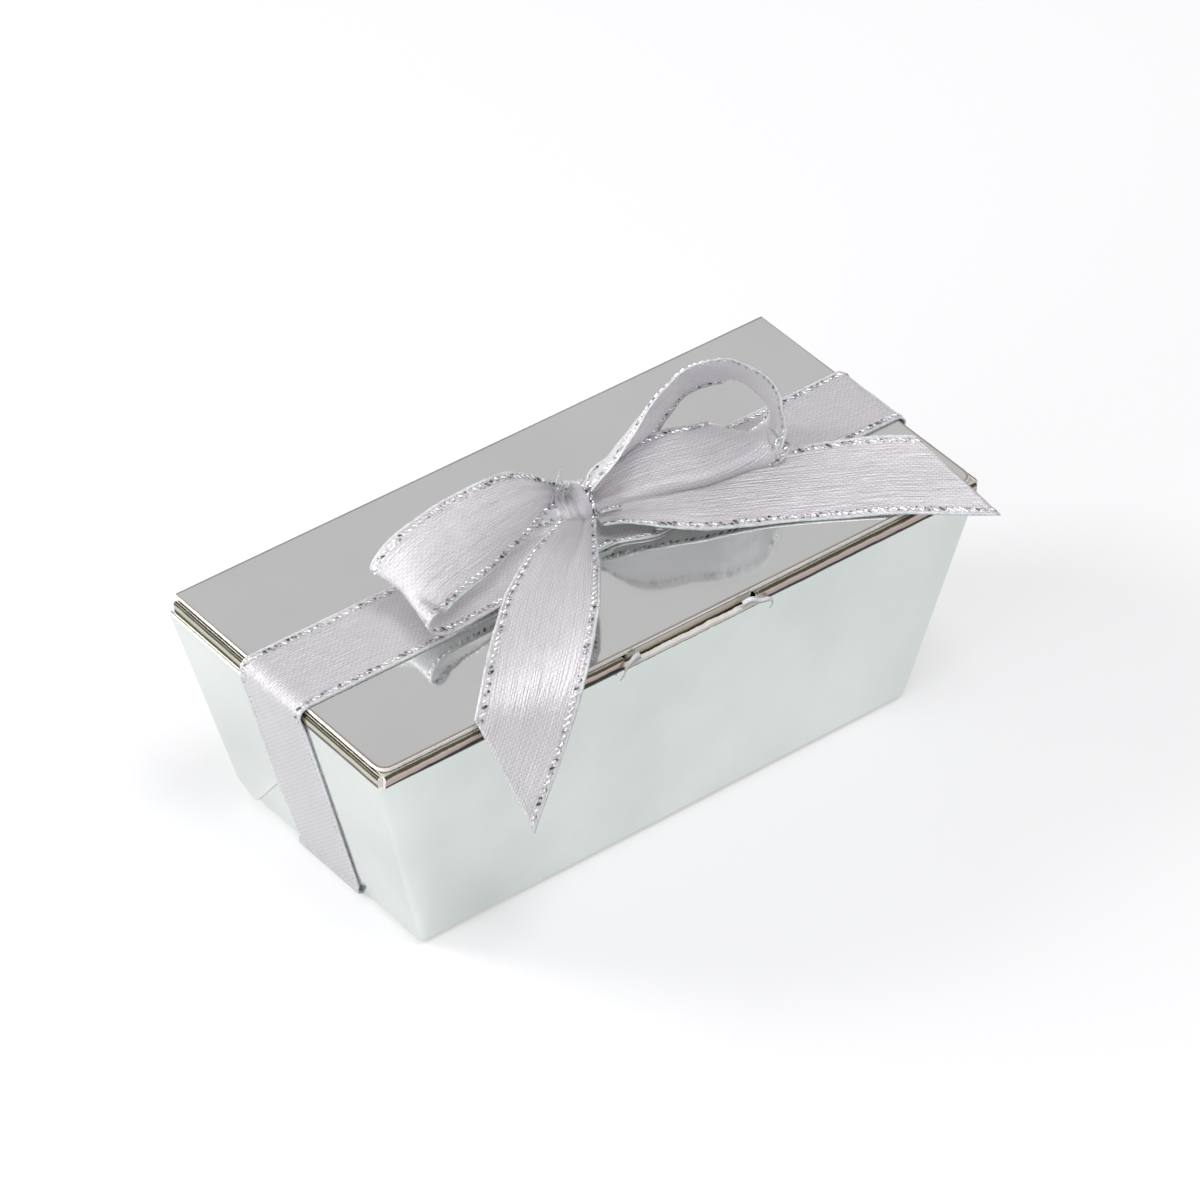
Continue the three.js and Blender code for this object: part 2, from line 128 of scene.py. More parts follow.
# The ribbon
RIBBON_WIDTH = round(STRAP_HIGH[1] - STRAP_LOW[1], 2)
HALF = RIBBON_WIDTH / 2
SATIN = 0.2  # thickness of the satin
SATIN_SHARE = 0.99  # of the width, inside the cords
COLUMNS = 36  # of faces across it
PLEATS = 0.2  # depth of the folds where it is drawn together
RIPPLE = 0.1  # depth of its slow ripples
FINE_RIPPLE = 0.035
TAUT = 0.4  # share of the ripples where it is stretched
TUCK_FROM = 0.3  # share of the half width where a tucked front edge begins to bend
SLOPE_STEP = 0.02
CHAIN_PITCH = 1.5  # length of one turn of the silver edge chain
CHAIN_INSET = 0.68  # from the ribbon's edge to the chain's middle
CHAIN_SWING = (0.2, 0.12)  # how far its strands wind across and out of the satin
CHAIN_STRAND = (0.165, 0.11)  # half width and half thickness of a strand
CHAIN_STEP = 0.13
CORD = (0.2, 0.12)  # the same for the pale cord along the very edge
CORD_INSET = 0.2
CORD_STEP = 0.3
CORD_DRIFT = 0.04
EDGE_LINES = [end * (1 - inset / HALF) for inset in (CHAIN_INSET, CORD_INSET) for end in (-1, 1)]
PRESSED_BELOW = 1.5  # height under which the box presses the threads flat
PRESSED = 0.55  # share of their thickness there

# The ribbon's way round the box
STRAP_Z = LID_TOP + 0.14
STRAP_FROM = 3  # from the middle of the lid to where the strap lies flat
STRAP_TURN = 1.2  # radius of its turn over the lid's end
LEG_STAND = 0.14  # the leg's middle from the end wall
LEG_TOP = 1.6  # from the crease to where the leg lies on the wall
UNDER_Z = 0.17
GATHERED_HALF = 3.4  # half its width where it goes into the knot

# The wrap of the knot
WRAP_LENGTH = 3.8
WRAP_WIDTH = 5.2
WRAP_HEIGHT = 5
WRAP_MIDDLE = np.array([KNOT_MIDDLE[0] - 0.8, 0.9, LID_TOP + 3.2])
TUFT_ROOT = WRAP_MIDDLE + np.array([-1, 0.1, 2.75])
FRAYED_THREADS = 70


# Meshes


def make_mesh(name, points, faces, materials, marks=None, closed=True):
    """A smooth object. marks gives each face's material, and a closed one is turned outward."""
    mesh = bpy.data.meshes.new(name)
    mesh.from_pydata([tuple(float(c) * MM for c in p) for p in points], [], [tuple(f) for f in faces])
    for material in materials:
        mesh.materials.append(material)
    if marks:
        mesh.polygons.foreach_set("material_index", marks)
    mesh.polygons.foreach_set("use_smooth", [True] * len(mesh.polygons))
    mesh.update()
    if closed:
        work = bmesh.new()
        work.from_mesh(mesh)
        bmesh.ops.recalc_face_normals(work, faces=work.faces)
        work.to_mesh(mesh)
        work.free()
    piece = bpy.data.objects.new(name, mesh)
    bpy.context.scene.collection.objects.link(piece)
    return piece


def tube_faces(rings, count, start=0, close_ends=True):
    """Quads over rings of points, with a face over each end."""
    faces = []
    for r in range(rings - 1):
        for i in range(count):
            a, b = start + r * count + i, start + r * count + (i + 1) % count
            faces.append((a, b, b + count, a + count))
    if close_ends:
        faces.append(tuple(start + i for i in reversed(range(count))))
        faces.append(tuple(start + (rings - 1) * count + i for i in range(count)))
    return faces


def ring_mesh(name, rings, materials, marks=None):
    """A closed skin over rings that have the same number of points."""
    points = [point for ring in rings for point in ring]
    return make_mesh(name, points, tube_faces(len(rings), len(rings[0])), materials, marks)


def skin_marks(rings, count, outer):
    """Material 0 on the first faces of each ring, and 1 on the others and over the ends."""
    return [0 if f % count < outer else 1 for f in range((rings - 1) * count)] + [1, 1]


def crisp(piece, degrees):
    """Smooth shading that breaks at edges sharper than that."""
    with bpy.context.temp_override(object=piece, active_object=piece, selected_editable_objects=[piece]):
        bpy.ops.object.shade_smooth_by_angle(angle=radians(degrees))
    return piece


def store(piece, name, values):
    """A vector for each point, which the materials read as its place."""
    attribute = piece.data.attributes.new(name, "FLOAT_VECTOR", "POINT")
    attribute.data.foreach_set("vector", np.asarray(values, np.float32).ravel())


def dress(piece, body, slot, *nodes):
    """Rides the body and stands for the nodes. slot is not used."""
    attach(piece, body)
    if nodes:
        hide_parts(*nodes)
    return piece


# Curves


def through(points, t):
    """A point on the centripetal Catmull-Rom curve through the points, t from 0 to 1."""
    p = [np.asarray(q, float) for q in points]
    count = len(p)
    place = (count - 1) * t
    i = min(int(place), count - 2)
    f = place - i
    p1, p2 = p[i], p[i + 1]
    p0 = p[i - 1] if i > 0 else 2 * p[0] - p[1]
    p3 = p[i + 2] if i + 2 < count else 2 * p[-1] - p[-2]
    d0, d1, d2 = [float(np.sum((b - a) ** 2)) ** 0.25 for a, b in ((p0, p1), (p1, p2), (p2, p3))]
    d1 = d1 if d1 > 1e-4 else 1.0
    d0 = d0 if d0 > 1e-4 else d1
    d2 = d2 if d2 > 1e-4 else d1
    m1 = ((p1 - p0) / d0 - (p2 - p0) / (d0 + d1) + (p2 - p1) / d1) * d1
    m2 = ((p2 - p1) / d1 - (p3 - p1) / (d1 + d2) + (p3 - p2) / d2) * d1
    return p1 + m1 * f + (-3 * p1 + 3 * p2 - 2 * m1 - m2) * f * f + (2 * p1 - 2 * p2 + m1 + m2) * f ** 3


def direction(points, t, small):
    """The direction of that curve."""
    return unit(through(points, min(t + small, 1)) - through(points, max(t - small, 0)))


def distances_along(places):
    """How far along their line each place lies."""
    distances = [0.0]
    for a, b in zip(places, places[1:]):
        distances.append(distances[-1] + float(np.linalg.norm(b - a)))
    return distances


def span_at(distances, distance):
    """The span of a line that a distance falls in, and its share of that span."""
    k = min(max(int(np.searchsorted(distances, distance)) - 1, 0), len(distances) - 2)
    return k, (distance - distances[k]) / max(distances[k + 1] - distances[k], 1e-9)


def rounded_outline(points, radii, steps=6):
    """A polygon's outline with each corner rounded to its own radius."""
    result = []
    count = len(points)
    for i, (p, r) in enumerate(zip(points, radii)):
        p = np.array(p, float)
        if r <= 0:
            result.append(p)
            continue
        to_before = unit(np.array(points[i - 1], float) - p)
        to_after = unit(np.array(points[(i + 1) % count], float) - p)
        angle = acos(np.clip(to_before @ to_after, -1, 1))
        reach = r / tan(angle / 2)
        for t in np.linspace(0, 1, steps):
            result.append(p + to_before * reach * (1 - t) ** 2 + to_after * reach * t ** 2)
    return result


# Materials


def put(node, values):
    """Sets a node's properties and inputs, and links an input that is given a socket."""
    for key, value in values.items():
        if isinstance(value, bpy.types.NodeSocket):
            node.id_data.links.new(value, node.inputs[key])
        elif isinstance(key, int) or key in node.inputs:
            node.inputs[key].default_value = value
        else:
            setattr(node, key, value)
    return node


def add_node(tree, kind, **values):
    return put(tree.nodes.new("ShaderNode" + kind), values)


def maths(tree, operation, *values):
    """The result of a calculation with sockets and numbers."""
    return put(add_node(tree, "Math", operation=operation), dict(enumerate(values))).outputs[0]


def new_material(name):
    """A material, its nodes and its main shader."""
    material = bpy.data.materials.new(name)
    material.use_nodes = True
    return material, material.node_tree, material.node_tree.nodes["Principled BSDF"]


def object_place(tree):
    return add_node(tree, "TexCoord").outputs["Object"]


def stored(tree, name):
    """A vector stored on the mesh."""
    return add_node(tree, "Attribute", attribute_name=name).outputs["Vector"]


def stretched(tree, place, scale):
    """A place scaled differently along each axis."""
    return add_node(tree, "Mapping", Vector=place, Scale=scale).outputs["Vector"]


def noise_at(tree, place, scale, detail, roughness=0.5):
    node = add_node(tree, "TexNoise", Vector=place, Scale=scale, Detail=detail, Roughness=roughness)
    return node.outputs["Fac"]


def ramp(tree, value, stops):
    """A colour ramp over stops of (place, colour)."""
    node = add_node(tree, "ValToRGB", Fac=value)
    points = node.color_ramp.elements
    while len(points) < len(stops):
        points.new(0.5)
    for point, (where, colour) in zip(points, stops):
        point.position = where
        point.color = (*colour, 1)
    return node.outputs["Color"]


def bump(tree, height, strength, distance, under=None):
    """A bump of that depth in metres, on top of another one."""
    node = add_node(tree, "Bump", Height=height, Strength=strength, Distance=distance)
    if under is not None:
        put(node, {"Normal": under})
    return node.outputs["Normal"]


def mottled(name, light, dark, grain, settings, relief=None):
    """A material between two colours, by a noise of that scale, detail and roughness."""
    material, tree, shader = new_material(name)
    tone = noise_at(tree, object_place(tree), *grain)
    put(shader, {"Base Color": ramp(tree, tone, [(0.3, dark), (0.7, light)]), **settings})
    if relief:
        put(shader, {"Normal": bump(tree, tone, *relief)})
    return material


def plain_board(name, light, dark, scale=900):
    """Uncoated board or paper, with its fibres."""
    return mottled(name, light, dark, (scale, 6, 0.65), {"Roughness": 0.85}, (0.4, 0.00005))


def mirror_film(name, light, dark, roughness=0.07):
    """Film on board: a soft mirror with faint waves, haze, smudges and a fine grain."""
    material, tree, shader = new_material(name)
    place = object_place(tree)
    haze = ramp(tree, noise_at(tree, place, 60, 4), [(0.3, dark), (0.7, light)])
    smudges = ramp(tree, noise_at(tree, place, 180, 5), [
        (0.35, (roughness,) * 3), (0.8, (roughness * 1.8,) * 3)])
    waves = bump(tree, noise_at(tree, place, 45, 1), 0.35, 0.0004)
    put(shader, {"Base Color": haze, "Metallic": 1.0, "Roughness": smudges,
                 "Normal": bump(tree, noise_at(tree, place, 900, 2), 0.1, 0.00003, waves)})
    return material


def rim_film_with_painted_shade(name, stops):
    """The film on a rim: a soft mirror, with painted shade for the uneven gap of the crease and painted
    reflections of the fold above it.
    """
    material, tree, shader = new_material(name)
    painted_shade_band = stored(tree, "painted_shade_band")
    level = add_node(tree, "SeparateXYZ", Vector=painted_shade_band).outputs["Z"]
    waver = noise_at(tree, stretched(tree, painted_shade_band, (0.5, 2.2, 1)), 1.2, 4, 0.6)
    put(shader, {"Base Color": ramp(tree, maths(tree, "MULTIPLY_ADD", waver, 0.22, level), stops),
                 "Metallic": 0.8, "Roughness": 0.28,
                 "Normal": bump(tree, noise_at(tree, object_place(tree), 500, 3), 0.2, 0.0001)})
    return material


def satin_cloth():
    """Satin: rows of small bright floats, with fine streaks that break up the shine."""
    material, tree, shader = new_material("satin")
    weave = stored(tree, "weave")
    floats = add_node(tree, "TexBrick", Vector=weave, Scale=1.0, offset=0.5, squash=1.0, Color1=(1, 1, 1, 1),
                      Color2=(0.8, 0.8, 0.8, 1), Mortar=(0, 0, 0, 1))
    put(floats, {"Mortar Size": 0.085, "Mortar Smooth": 0.4, "Brick Width": 0.6, "Row Height": 0.3})
    strand = floats.outputs["Color"]
    streak = noise_at(tree, stretched(tree, weave, (0.22, 4.2, 1)), 1.0, 4, 0.6)
    mix = add_node(tree, "Mix", data_type="RGBA", Factor=0.45,
                   A=ramp(tree, streak, [(0.3, (0.62, 0.595, 0.635)), (0.7, (0.76, 0.73, 0.775))]),
                   B=ramp(tree, strand, [(0.0, (0.57, 0.54, 0.575)), (0.8, (0.96, 0.945, 0.97))]))
    ribs = bump(tree, strand, 0.25, 0.00005)
    put(shader, {"Base Color": mix.outputs["Result"], "Metallic": 0.42, "Roughness": 0.37,
                 "Specular IOR Level": 1.0, "Sheen Weight": 0.3, "Sheen Roughness": 0.35,
                 "Subsurface Weight": 0.8, "Subsurface Radius": (1.0, 0.95, 1.0), "Subsurface Scale": 0.0015,
                 "Normal": bump(tree, streak, 0.85, 0.00028, ribs)})
    return material


def silver_thread_painted_glints():
    """The flat metallic yarn along the ribbon's edges: grains from near black to white, painted dark
    reflections and glints of its facets.
    """
    material, tree, shader = new_material("silver_thread_painted_glints")
    grain = ramp(tree, noise_at(tree, object_place(tree), 1500, 1), [
        (0.3, (0.08, 0.07, 0.075)), (0.42, (0.36, 0.34, 0.36)), (0.5, (0.8, 0.79, 0.81)), (0.6, (1, 1, 1))])
    put(shader, {"Base Color": grain, "Metallic": 0.85, "Roughness": 0.2})
    return material


MIRROR = mirror_film("mirror_film", (0.78, 0.815, 0.79), (0.72, 0.765, 0.74))
# The walls' film is a darker copy of the lid's film: painted shade, over the same random haze.
WALL_FILM_PAINTED_SHADE = mirror_film("wall_film_painted_shade", (0.745, 0.785, 0.76), (0.655, 0.705, 0.675))
# The rims' ramps are painted light: black painted shade in the crease's gap and along the top under the lid,
# and beige and pale bands that are painted reflections of the rounded fold.
FRONT_RIM_PAINTED_SHADE = rim_film_with_painted_shade("front_rim_painted_shade_and_reflection", [
    (0.2, (0.1, 0.098, 0.08)), (0.25, (0.012, 0.01, 0.007)), (0.46, (0.012, 0.01, 0.007)),
    (0.52, (0.36, 0.28, 0.235)), (0.64, (0.5, 0.41, 0.37)), (0.8, (0.46, 0.39, 0.34)),
    (0.88, (0.58, 0.54, 0.49)), (0.96, (0.42, 0.36, 0.3)), (1.0, (0.1, 0.08, 0.055))])
END_RIM_PAINTED_SHADE = rim_film_with_painted_shade("end_rim_painted_shade_and_reflection", [
    (0.1, (0.3, 0.27, 0.22)), (0.22, (0.24, 0.21, 0.16)), (0.3, (0.022, 0.02, 0.012)),
    (0.42, (0.022, 0.02, 0.012)), (0.5, (0.24, 0.225, 0.16)), (0.62, (0.52, 0.52, 0.43)),
    (0.8, (0.6, 0.6, 0.52)), (0.9, (0.42, 0.41, 0.32)), (0.96, (0.12, 0.11, 0.07)),
    (1.0, (0.05, 0.045, 0.03))])
# A darker brown copy of the film: painted shade on the tuck tab and on the narrow strip along each sheet's
# top edge.
SHADED_TAB_FILM = mirror_film("tab_film_painted_shade", (0.52, 0.48, 0.42), (0.38, 0.345, 0.29), 0.3)
# A yellow-brown film: the painted reflection on the tuck tab's rounded fold.
FOLD_PAINTED_REFLECTION = mirror_film("fold_painted_reflection_film", (0.5, 0.44, 0.31), (0.38, 0.33, 0.22), 0.3)
# Near-black board: painted shade in the tab's crease and in the gap under the slit's raw edge.
CREASE_PAINTED_SHADE = plain_board("crease_painted_shade_board", (0.05, 0.043, 0.032), (0.018, 0.014, 0.01), 1500)
CUT_EDGE = plain_board("cut_edge", (0.93, 0.91, 0.86), (0.8, 0.77, 0.7))
INNER_FACE = plain_board("inner_face", (0.86, 0.85, 0.81), (0.78, 0.77, 0.73))
TORN_WHITE = plain_board("torn_film_white", (0.92, 0.92, 0.93), (0.7, 0.7, 0.71), 1200)
SATIN_CLOTH = satin_cloth()
SELVEDGE = mottled("selvedge_cord", (0.86, 0.85, 0.86), (0.6, 0.585, 0.6), (1800, 2),
                   {"Roughness": 0.35, "Subsurface Weight": 0.3, "Subsurface Scale": 0.001})
THREAD_PAINTED_GLINTS = silver_thread_painted_glints()
CUP_PAPER = plain_board("cup_paper", (0.1, 0.052, 0.028), (0.06, 0.03, 0.016), 1400)
CHOCOLATE = mottled("chocolate_shell", (0.075, 0.032, 0.016), (0.045, 0.018, 0.009), (250, 4),
                    {"Roughness": 0.32}, (0.3, 0.0002))


# The camera, fitted to the corners of the box in the photograph

CAMERA_PLACE = (-328.73, -417.21, 454.51)
CAMERA_ANGLES = (-38.4534, 39.3327, -0.5061)  # azimuth, elevation and roll, in degrees
FOCAL_PIXELS = 6779.06
FRAME_PIXELS = 1200
SENSOR_WIDTH = 36.0
FARTHEST_SEEN = 20  # metres


def make_camera():
    azimuth, elevation, roll = (radians(a) for a in CAMERA_ANGLES)
    back = Vector((sin(azimuth) * cos(elevation), -cos(azimuth) * cos(elevation), sin(elevation)))
    level = Vector((0, 0, 1)).cross(back).normalized()
    upright = back.cross(level)
    right = cos(roll) * level - sin(roll) * upright
    up = sin(roll) * level + cos(roll) * upright
    data = bpy.data.cameras.new("camera")
    data.sensor_width = SENSOR_WIDTH
    data.lens = FOCAL_PIXELS / FRAME_PIXELS * SENSOR_WIDTH
    data.clip_end = FARTHEST_SEEN
    camera = bpy.data.objects.new("camera", data)
    turn = Matrix((right, up, back)).transposed().to_4x4()
    camera.matrix_world = Matrix.Translation(Vector(CAMERA_PLACE) * MM) @ turn
    bpy.context.scene.collection.objects.link(camera)
    bpy.context.scene.camera = camera


make_camera()


# The carton's four walls


def outward(base_half, top_half, z):
    """How far a wall's outer face stands from the middle at a height."""
    return base_half + (top_half - base_half) * clamp((z - FOOT_Z) / (CREASE_Z - FOOT_Z))


def wall_levels():
    """Heights up a wall, with how far its outer face is drawn in at the rounded foot."""
    foot = [(FOOT_Z + FOOT_RADIUS * (1 - cos(a)), FOOT_RADIUS * (1 - sin(a)))
            for a in np.linspace(0, pi / 2, ARC_POINTS)]
    return foot + [(z, 0) for z in np.linspace(FOOT_Z + FOOT_RADIUS, CREASE_Z, WALL_ROWS + 1)[1:]]


def wall_row(side, z, inset, depth):
    """Points along a wall at a height, from the middle of one upright fold to the next."""
    half_x = outward(BASE_HALF_LENGTH, TOP_HALF_LENGTH, z) - inset
    half_y = outward(BASE_HALF_WIDTH, TOP_HALF_WIDTH, z) - inset
    radius = max(CORNER_RADIUS - inset, 0.1)
    folds = []
    for first, last in ((-45, 0), (0, 45)):
        angles = np.radians(WALL_FACING[side] + np.linspace(first, last, ARC_POINTS))
        diagonal = radians(WALL_FACING[side] + first + last)
        middle = np.array([copysign(half_x - radius, cos(diagonal)),
                           copysign(half_y - radius, sin(diagonal))])
        folds.append([middle + (radius - depth) * np.array([cos(a), sin(a)]) for a in angles])
    start, end = folds[0][-1], folds[1][0]
    between = [start + (end - start) * t for t in np.linspace(0, 1, WALL_COLUMNS + 1)[1:-1]]
    return [np.array([p[0], p[1], z]) for p in folds[0] + between + folds[1]]


def make_wall(side, node):
    """A wall with its rounded folds: a darker copy of the mirror film outside, for painted shade, and white
    inside and at its cut edges.
    """
    outer = [wall_row(side, z, inset, 0) for z, inset in wall_levels()]
    inner = [wall_row(side, z, inset, BOARD) for z, inset in wall_levels()]
    rings = [o + i[::-1] for o, i in zip(outer, inner)]
    marks = skin_marks(len(rings), len(rings[0]), len(outer[0]) - 1)
    wall = ring_mesh(node + "_board", rings, [WALL_FILM_PAINTED_SHADE, INNER_FACE], marks)
    crisp(dress(wall, "tray", "mirror_board", node), 50)


for side, node in (("front", "front_wall"), ("back", "back_wall"),
                   ("left", "left_end_wall"), ("right", "right_end_wall")):
    make_wall(side, node)


# The rim that stands above the crease on each wall


def painted_shade_share(side, along):
    """The share of a rim's height painted black as the shaded gap of the crease. On the front it widens
    towards the slit.
    """
    from_corner = (along + TOP_HALF_LENGTH) / (SLIT_LEFT + TOP_HALF_LENGTH)
    if side != "front" or from_corner >= 1:
        return 0.3
    return 0.14 + 0.36 * clamp(from_corner * 2.4)


def make_rim(side, spans, top_z):
    """Strips of rim from the crease up, leaning out a little, with a rounded fold at the top."""
    turn = WALL_FACING[side] + 90
    right_x, right_y = cos(radians(turn)), sin(radians(turn))
    face = TOP_HALF_WIDTH if side in ("front", "back") else TOP_HALF_LENGTH
    straight = top_z - RIM_FOLD - CREASE_Z
    profile = [(0.0, CREASE_Z - CREASE_LAP)]
    profile += [(RIM_LEAN * t ** 0.5, CREASE_Z + straight * t) for t in np.linspace(0.12, 1, 6)]
    profile += [(RIM_LEAN - RIM_FOLD * (1 - cos(a)), top_z - RIM_FOLD * (1 - sin(a)))
                for a in np.linspace(0, pi / 2, 5)[1:]]
    outline = profile + [(-BOARD, top_z - BOARD * 0.4), (-BOARD, CREASE_Z)]
    count = len(outline)
    points, faces, marks, painted_shade_bands = [], [], [], []
    for low, high in spans:
        steps = max(int((high - low) / RIM_STEP), 2)
        faces += tube_faces(steps + 1, count, len(points))
        marks += skin_marks(steps + 1, count, len(profile) - 1)
        for along in np.linspace(low, high, steps + 1):
            wave = RIM_WAVE * noise.noise((along * 0.35, 3.1 * turn, 0.5))
            # dark: the share of the rim's height that gets the painted shade of the gap
            dark = painted_shade_share(side, along)
            for index, (out, z) in enumerate(outline):
                stand = face + out + (wave if index < len(profile) else 0)
                points.append((along * right_x + stand * right_y, along * right_y - stand * right_x, z))
                height = clamp((z - CREASE_Z) / (top_z - CREASE_Z))
                above_painted_shade = SHADED_GAP_LEVEL + (1 - SHADED_GAP_LEVEL) * (height - dark) / (1 - dark)
                painted_shade_bands.append((along, height, SHADED_GAP_LEVEL * height / dark if height < dark else above_painted_shade))
    film = {"front": FRONT_RIM_PAINTED_SHADE, "back": MIRROR}.get(side, END_RIM_PAINTED_SHADE)
    rim = make_mesh(side + "_rim", points, faces, [film, CUT_EDGE], marks)
    store(rim, "painted_shade_band", painted_shade_bands)
    crisp(dress(rim, "tray", "mirror_board"), 60)


RIM_END = 0.5  # from a corner to the end of a rim
RIM_RIGHT = TOP_HALF_LENGTH - RIM_END
RIM_FRONT = -TOP_HALF_WIDTH + RIM_END
RIM_TOP_Z = LID_LOW[2] - 0.05
make_rim("front", [(-RIM_RIGHT, SLIT_LEFT), (SLIT_RIGHT, RIM_RIGHT)], RIM_TOP_Z)
make_rim("back", [(-RIM_RIGHT, RIM_RIGHT)], LID_LOW[2] + 0.1)
for side in ("left", "right"):
    make_rim(side, [(RIM_FRONT, TOP_HALF_WIDTH - 0.4)], RIM_TOP_Z)


# The lid and the flaps: sheets with rounded corners and cut edges


def make_sheet(name, node, body, outline, edge_mark=None):
    """A flat sheet at the node's height. edge_mark gives the material of an edge."""
    bevel, border_width = 0.06, 5
    low, high = (corner[2] for corner in corners(node))
    centre = sum(outline) / len(outline)
    count = len(outline)
    drawn = []
    for i, p in enumerate(outline):
        along = outline[(i + 1) % count] - outline[i - 1]
        side = np.array([along[1], -along[0]]) / (np.linalg.norm(along) + 1e-9)
        drawn.append(p - (side if side @ (p - centre) >= 0 else -side) * bevel)
    border = [p + (q - p) * border_width for p, q in zip(outline, drawn)]
    rings = [[(*p, z) for p in ring] for ring, z in (
        (drawn, low), (outline, low + bevel), (outline, high - bevel),
        (drawn, high - bevel / 3), (border, high))]
    edge = [edge_mark(outline[i], outline[(i + 1) % count]) if edge_mark else 1 for i in range(count)]
    # The narrow border ring at the top edge takes the shaded tab film, a strip of painted shade along the
    # cut.
    marks = edge * 3 + [3] * count + [2, 0]
    sheet = ring_mesh(name, rings, [MIRROR, CUT_EDGE, INNER_FACE, SHADED_TAB_FILM], marks)
    crisp(dress(sheet, body, "mirror_board", node), 25)


def lid_edge_mark(p, q):
    """The lid's front edge is folded where the tab leaves it, and cut elsewhere."""
    x, y = (p + q) / 2
    return 0 if y < LID_LOW[1] + 0.2 and TAB_LOW[0] < x < TAB_HIGH[0] else 1


def lid_outline():
    (left, front, _), (right, back, _) = LID_LOW, LID_HIGH
    return rounded_outline([(left, back), (left, front), (TAB_LOW[0], front), (TAB_HIGH[0], front),
                            (right, front), (right, back)], [0, 1.6, 0, 0, 1.6, 0])


def dust_flap_outline(node):
    (left, front, _), (right, back, _) = corners(node)
    root, tip = (left, right) if left < 0 else (right, left)
    taper = 0.5 * (right - left)
    return rounded_outline([(root, front), (root, back), (tip, back - taper), (tip, front + taper)],
                           [0, 0, 2.5, 2.5])


def front_flap_outline():
    (left, front, _), (right, back, _) = corners("front_flap")
    taper = 0.15 * (back - front)
    notch = front + SLIT_NOTCH
    return rounded_outline(
        [(left, front), (SLIT_LEFT, front), (SLIT_LEFT, notch), (SLIT_RIGHT, notch), (SLIT_RIGHT, front),
         (right, front), (right - taper, back), (left + taper, back)],
        [0] * 6 + [3] * 2)


make_sheet("lid_board", "lid_panel", "lid", lid_outline(), lid_edge_mark)
for node in ("left_dust_flap", "right_dust_flap"):
    make_sheet(node + "_board", node, node, dust_flap_outline(node))
make_sheet("front_flap_board", "front_flap", "front_flap", front_flap_outline())


# The tuck tab, which leans in behind the front wall


def make_tab():
    profile = [(LID_LOW[1] + TAB_ROLL * (1 - sin(a)) - TAB_OUT, LID_TOP - TAB_ROLL * (1 - cos(a)))
               for a in np.linspace(0.3, pi / 2, 6)]
    y, z = profile[-1]
    profile += [(y + sin(TAB_LEAN) * TAB_REACH * share, z - cos(TAB_LEAN) * TAB_REACH * share)
                for share in np.linspace(0.15, 1, 6)]
    rings = []
    for index, (y, z) in enumerate(profile):
        share = index / (len(profile) - 1)
        taper = TAB_TAPER * max(share - TAB_TAPER_FROM, 0) / (1 - TAB_TAPER_FROM)
        half_width = (TAB_HIGH[0] - TAB_LOW[0]) / 2 - taper
        xs = np.linspace(SLIT_MIDDLE - half_width, SLIT_MIDDLE + half_width, TAB_COLUMNS + 1)
        rings.append([(x, y, z) for x in xs] + [(x, y + BOARD * 0.9, z - 0.05) for x in xs[::-1]])
    count = len(rings[0])
    # The roll takes the painted reflection of the fold, the next ring the painted shade of the crease, and
    # the rest the shaded tab film.
    by_ring = [2, 2, 3] + [0] * (len(rings) - 4)
    marks = [by_ring[f // count] if f % count < TAB_COLUMNS else 1 for f in range((len(rings) - 1) * count)]
    tab = ring_mesh("tuck_tab_board", rings, [SHADED_TAB_FILM, INNER_FACE, FOLD_PAINTED_REFLECTION, CREASE_PAINTED_SHADE], marks + [1, 1])
    crisp(dress(tab, "tuck_tab", "mirror_board", "lid_tuck_tab"), 50)


def make_slit_edge():
    """The front wall's raw edge at the slit: white board, a little ragged, over a thin dark line of painted
    shade.
    """
    steps = 90
    face = -TOP_HALF_WIDTH - 0.07
    back, shade_back = face + BOARD, face + 0.2
    edge, line = [], []
    for x in np.linspace(SLIT_LEFT, SLIT_RIGHT, steps + 1):
        rag = 0.16 * noise.noise((x * 0.9, 0.4, 7.7)) + 0.08 * noise.noise((x * 3.7, 1.4, 2.7))
        low = CREASE_Z - CREASE_LAP + 0.5 * rag
        top = CREASE_Z + SLIT_EDGE_HEIGHT + rag
        edge += [(x, face, low), (x, face - 0.03, top), (x, back, top + 0.08), (x, back, low)]
        shade_low = low - 0.06 - 0.04 * noise.noise((x * 1.9, 5.0, 1.0))
        shade_top = low + 0.01
        line += [(x, face - 0.01, shade_low), (x, face - 0.01, shade_top), (x, shade_back, shade_top),
                 (x, shade_back, shade_low)]
    faces = tube_faces(steps + 1, 4)
    marks = [0] * len(faces) + [1] * len(faces)
    faces += tube_faces(steps + 1, 4, len(edge))
    crisp(dress(make_mesh("slit_raw_edge", edge + line, faces, [CUT_EDGE, CREASE_PAINTED_SHADE], marks),
                "tray", "mirror_board"), 40)


make_tab()
make_slit_edge()


# The glue flaps of the back wall, outside the end walls


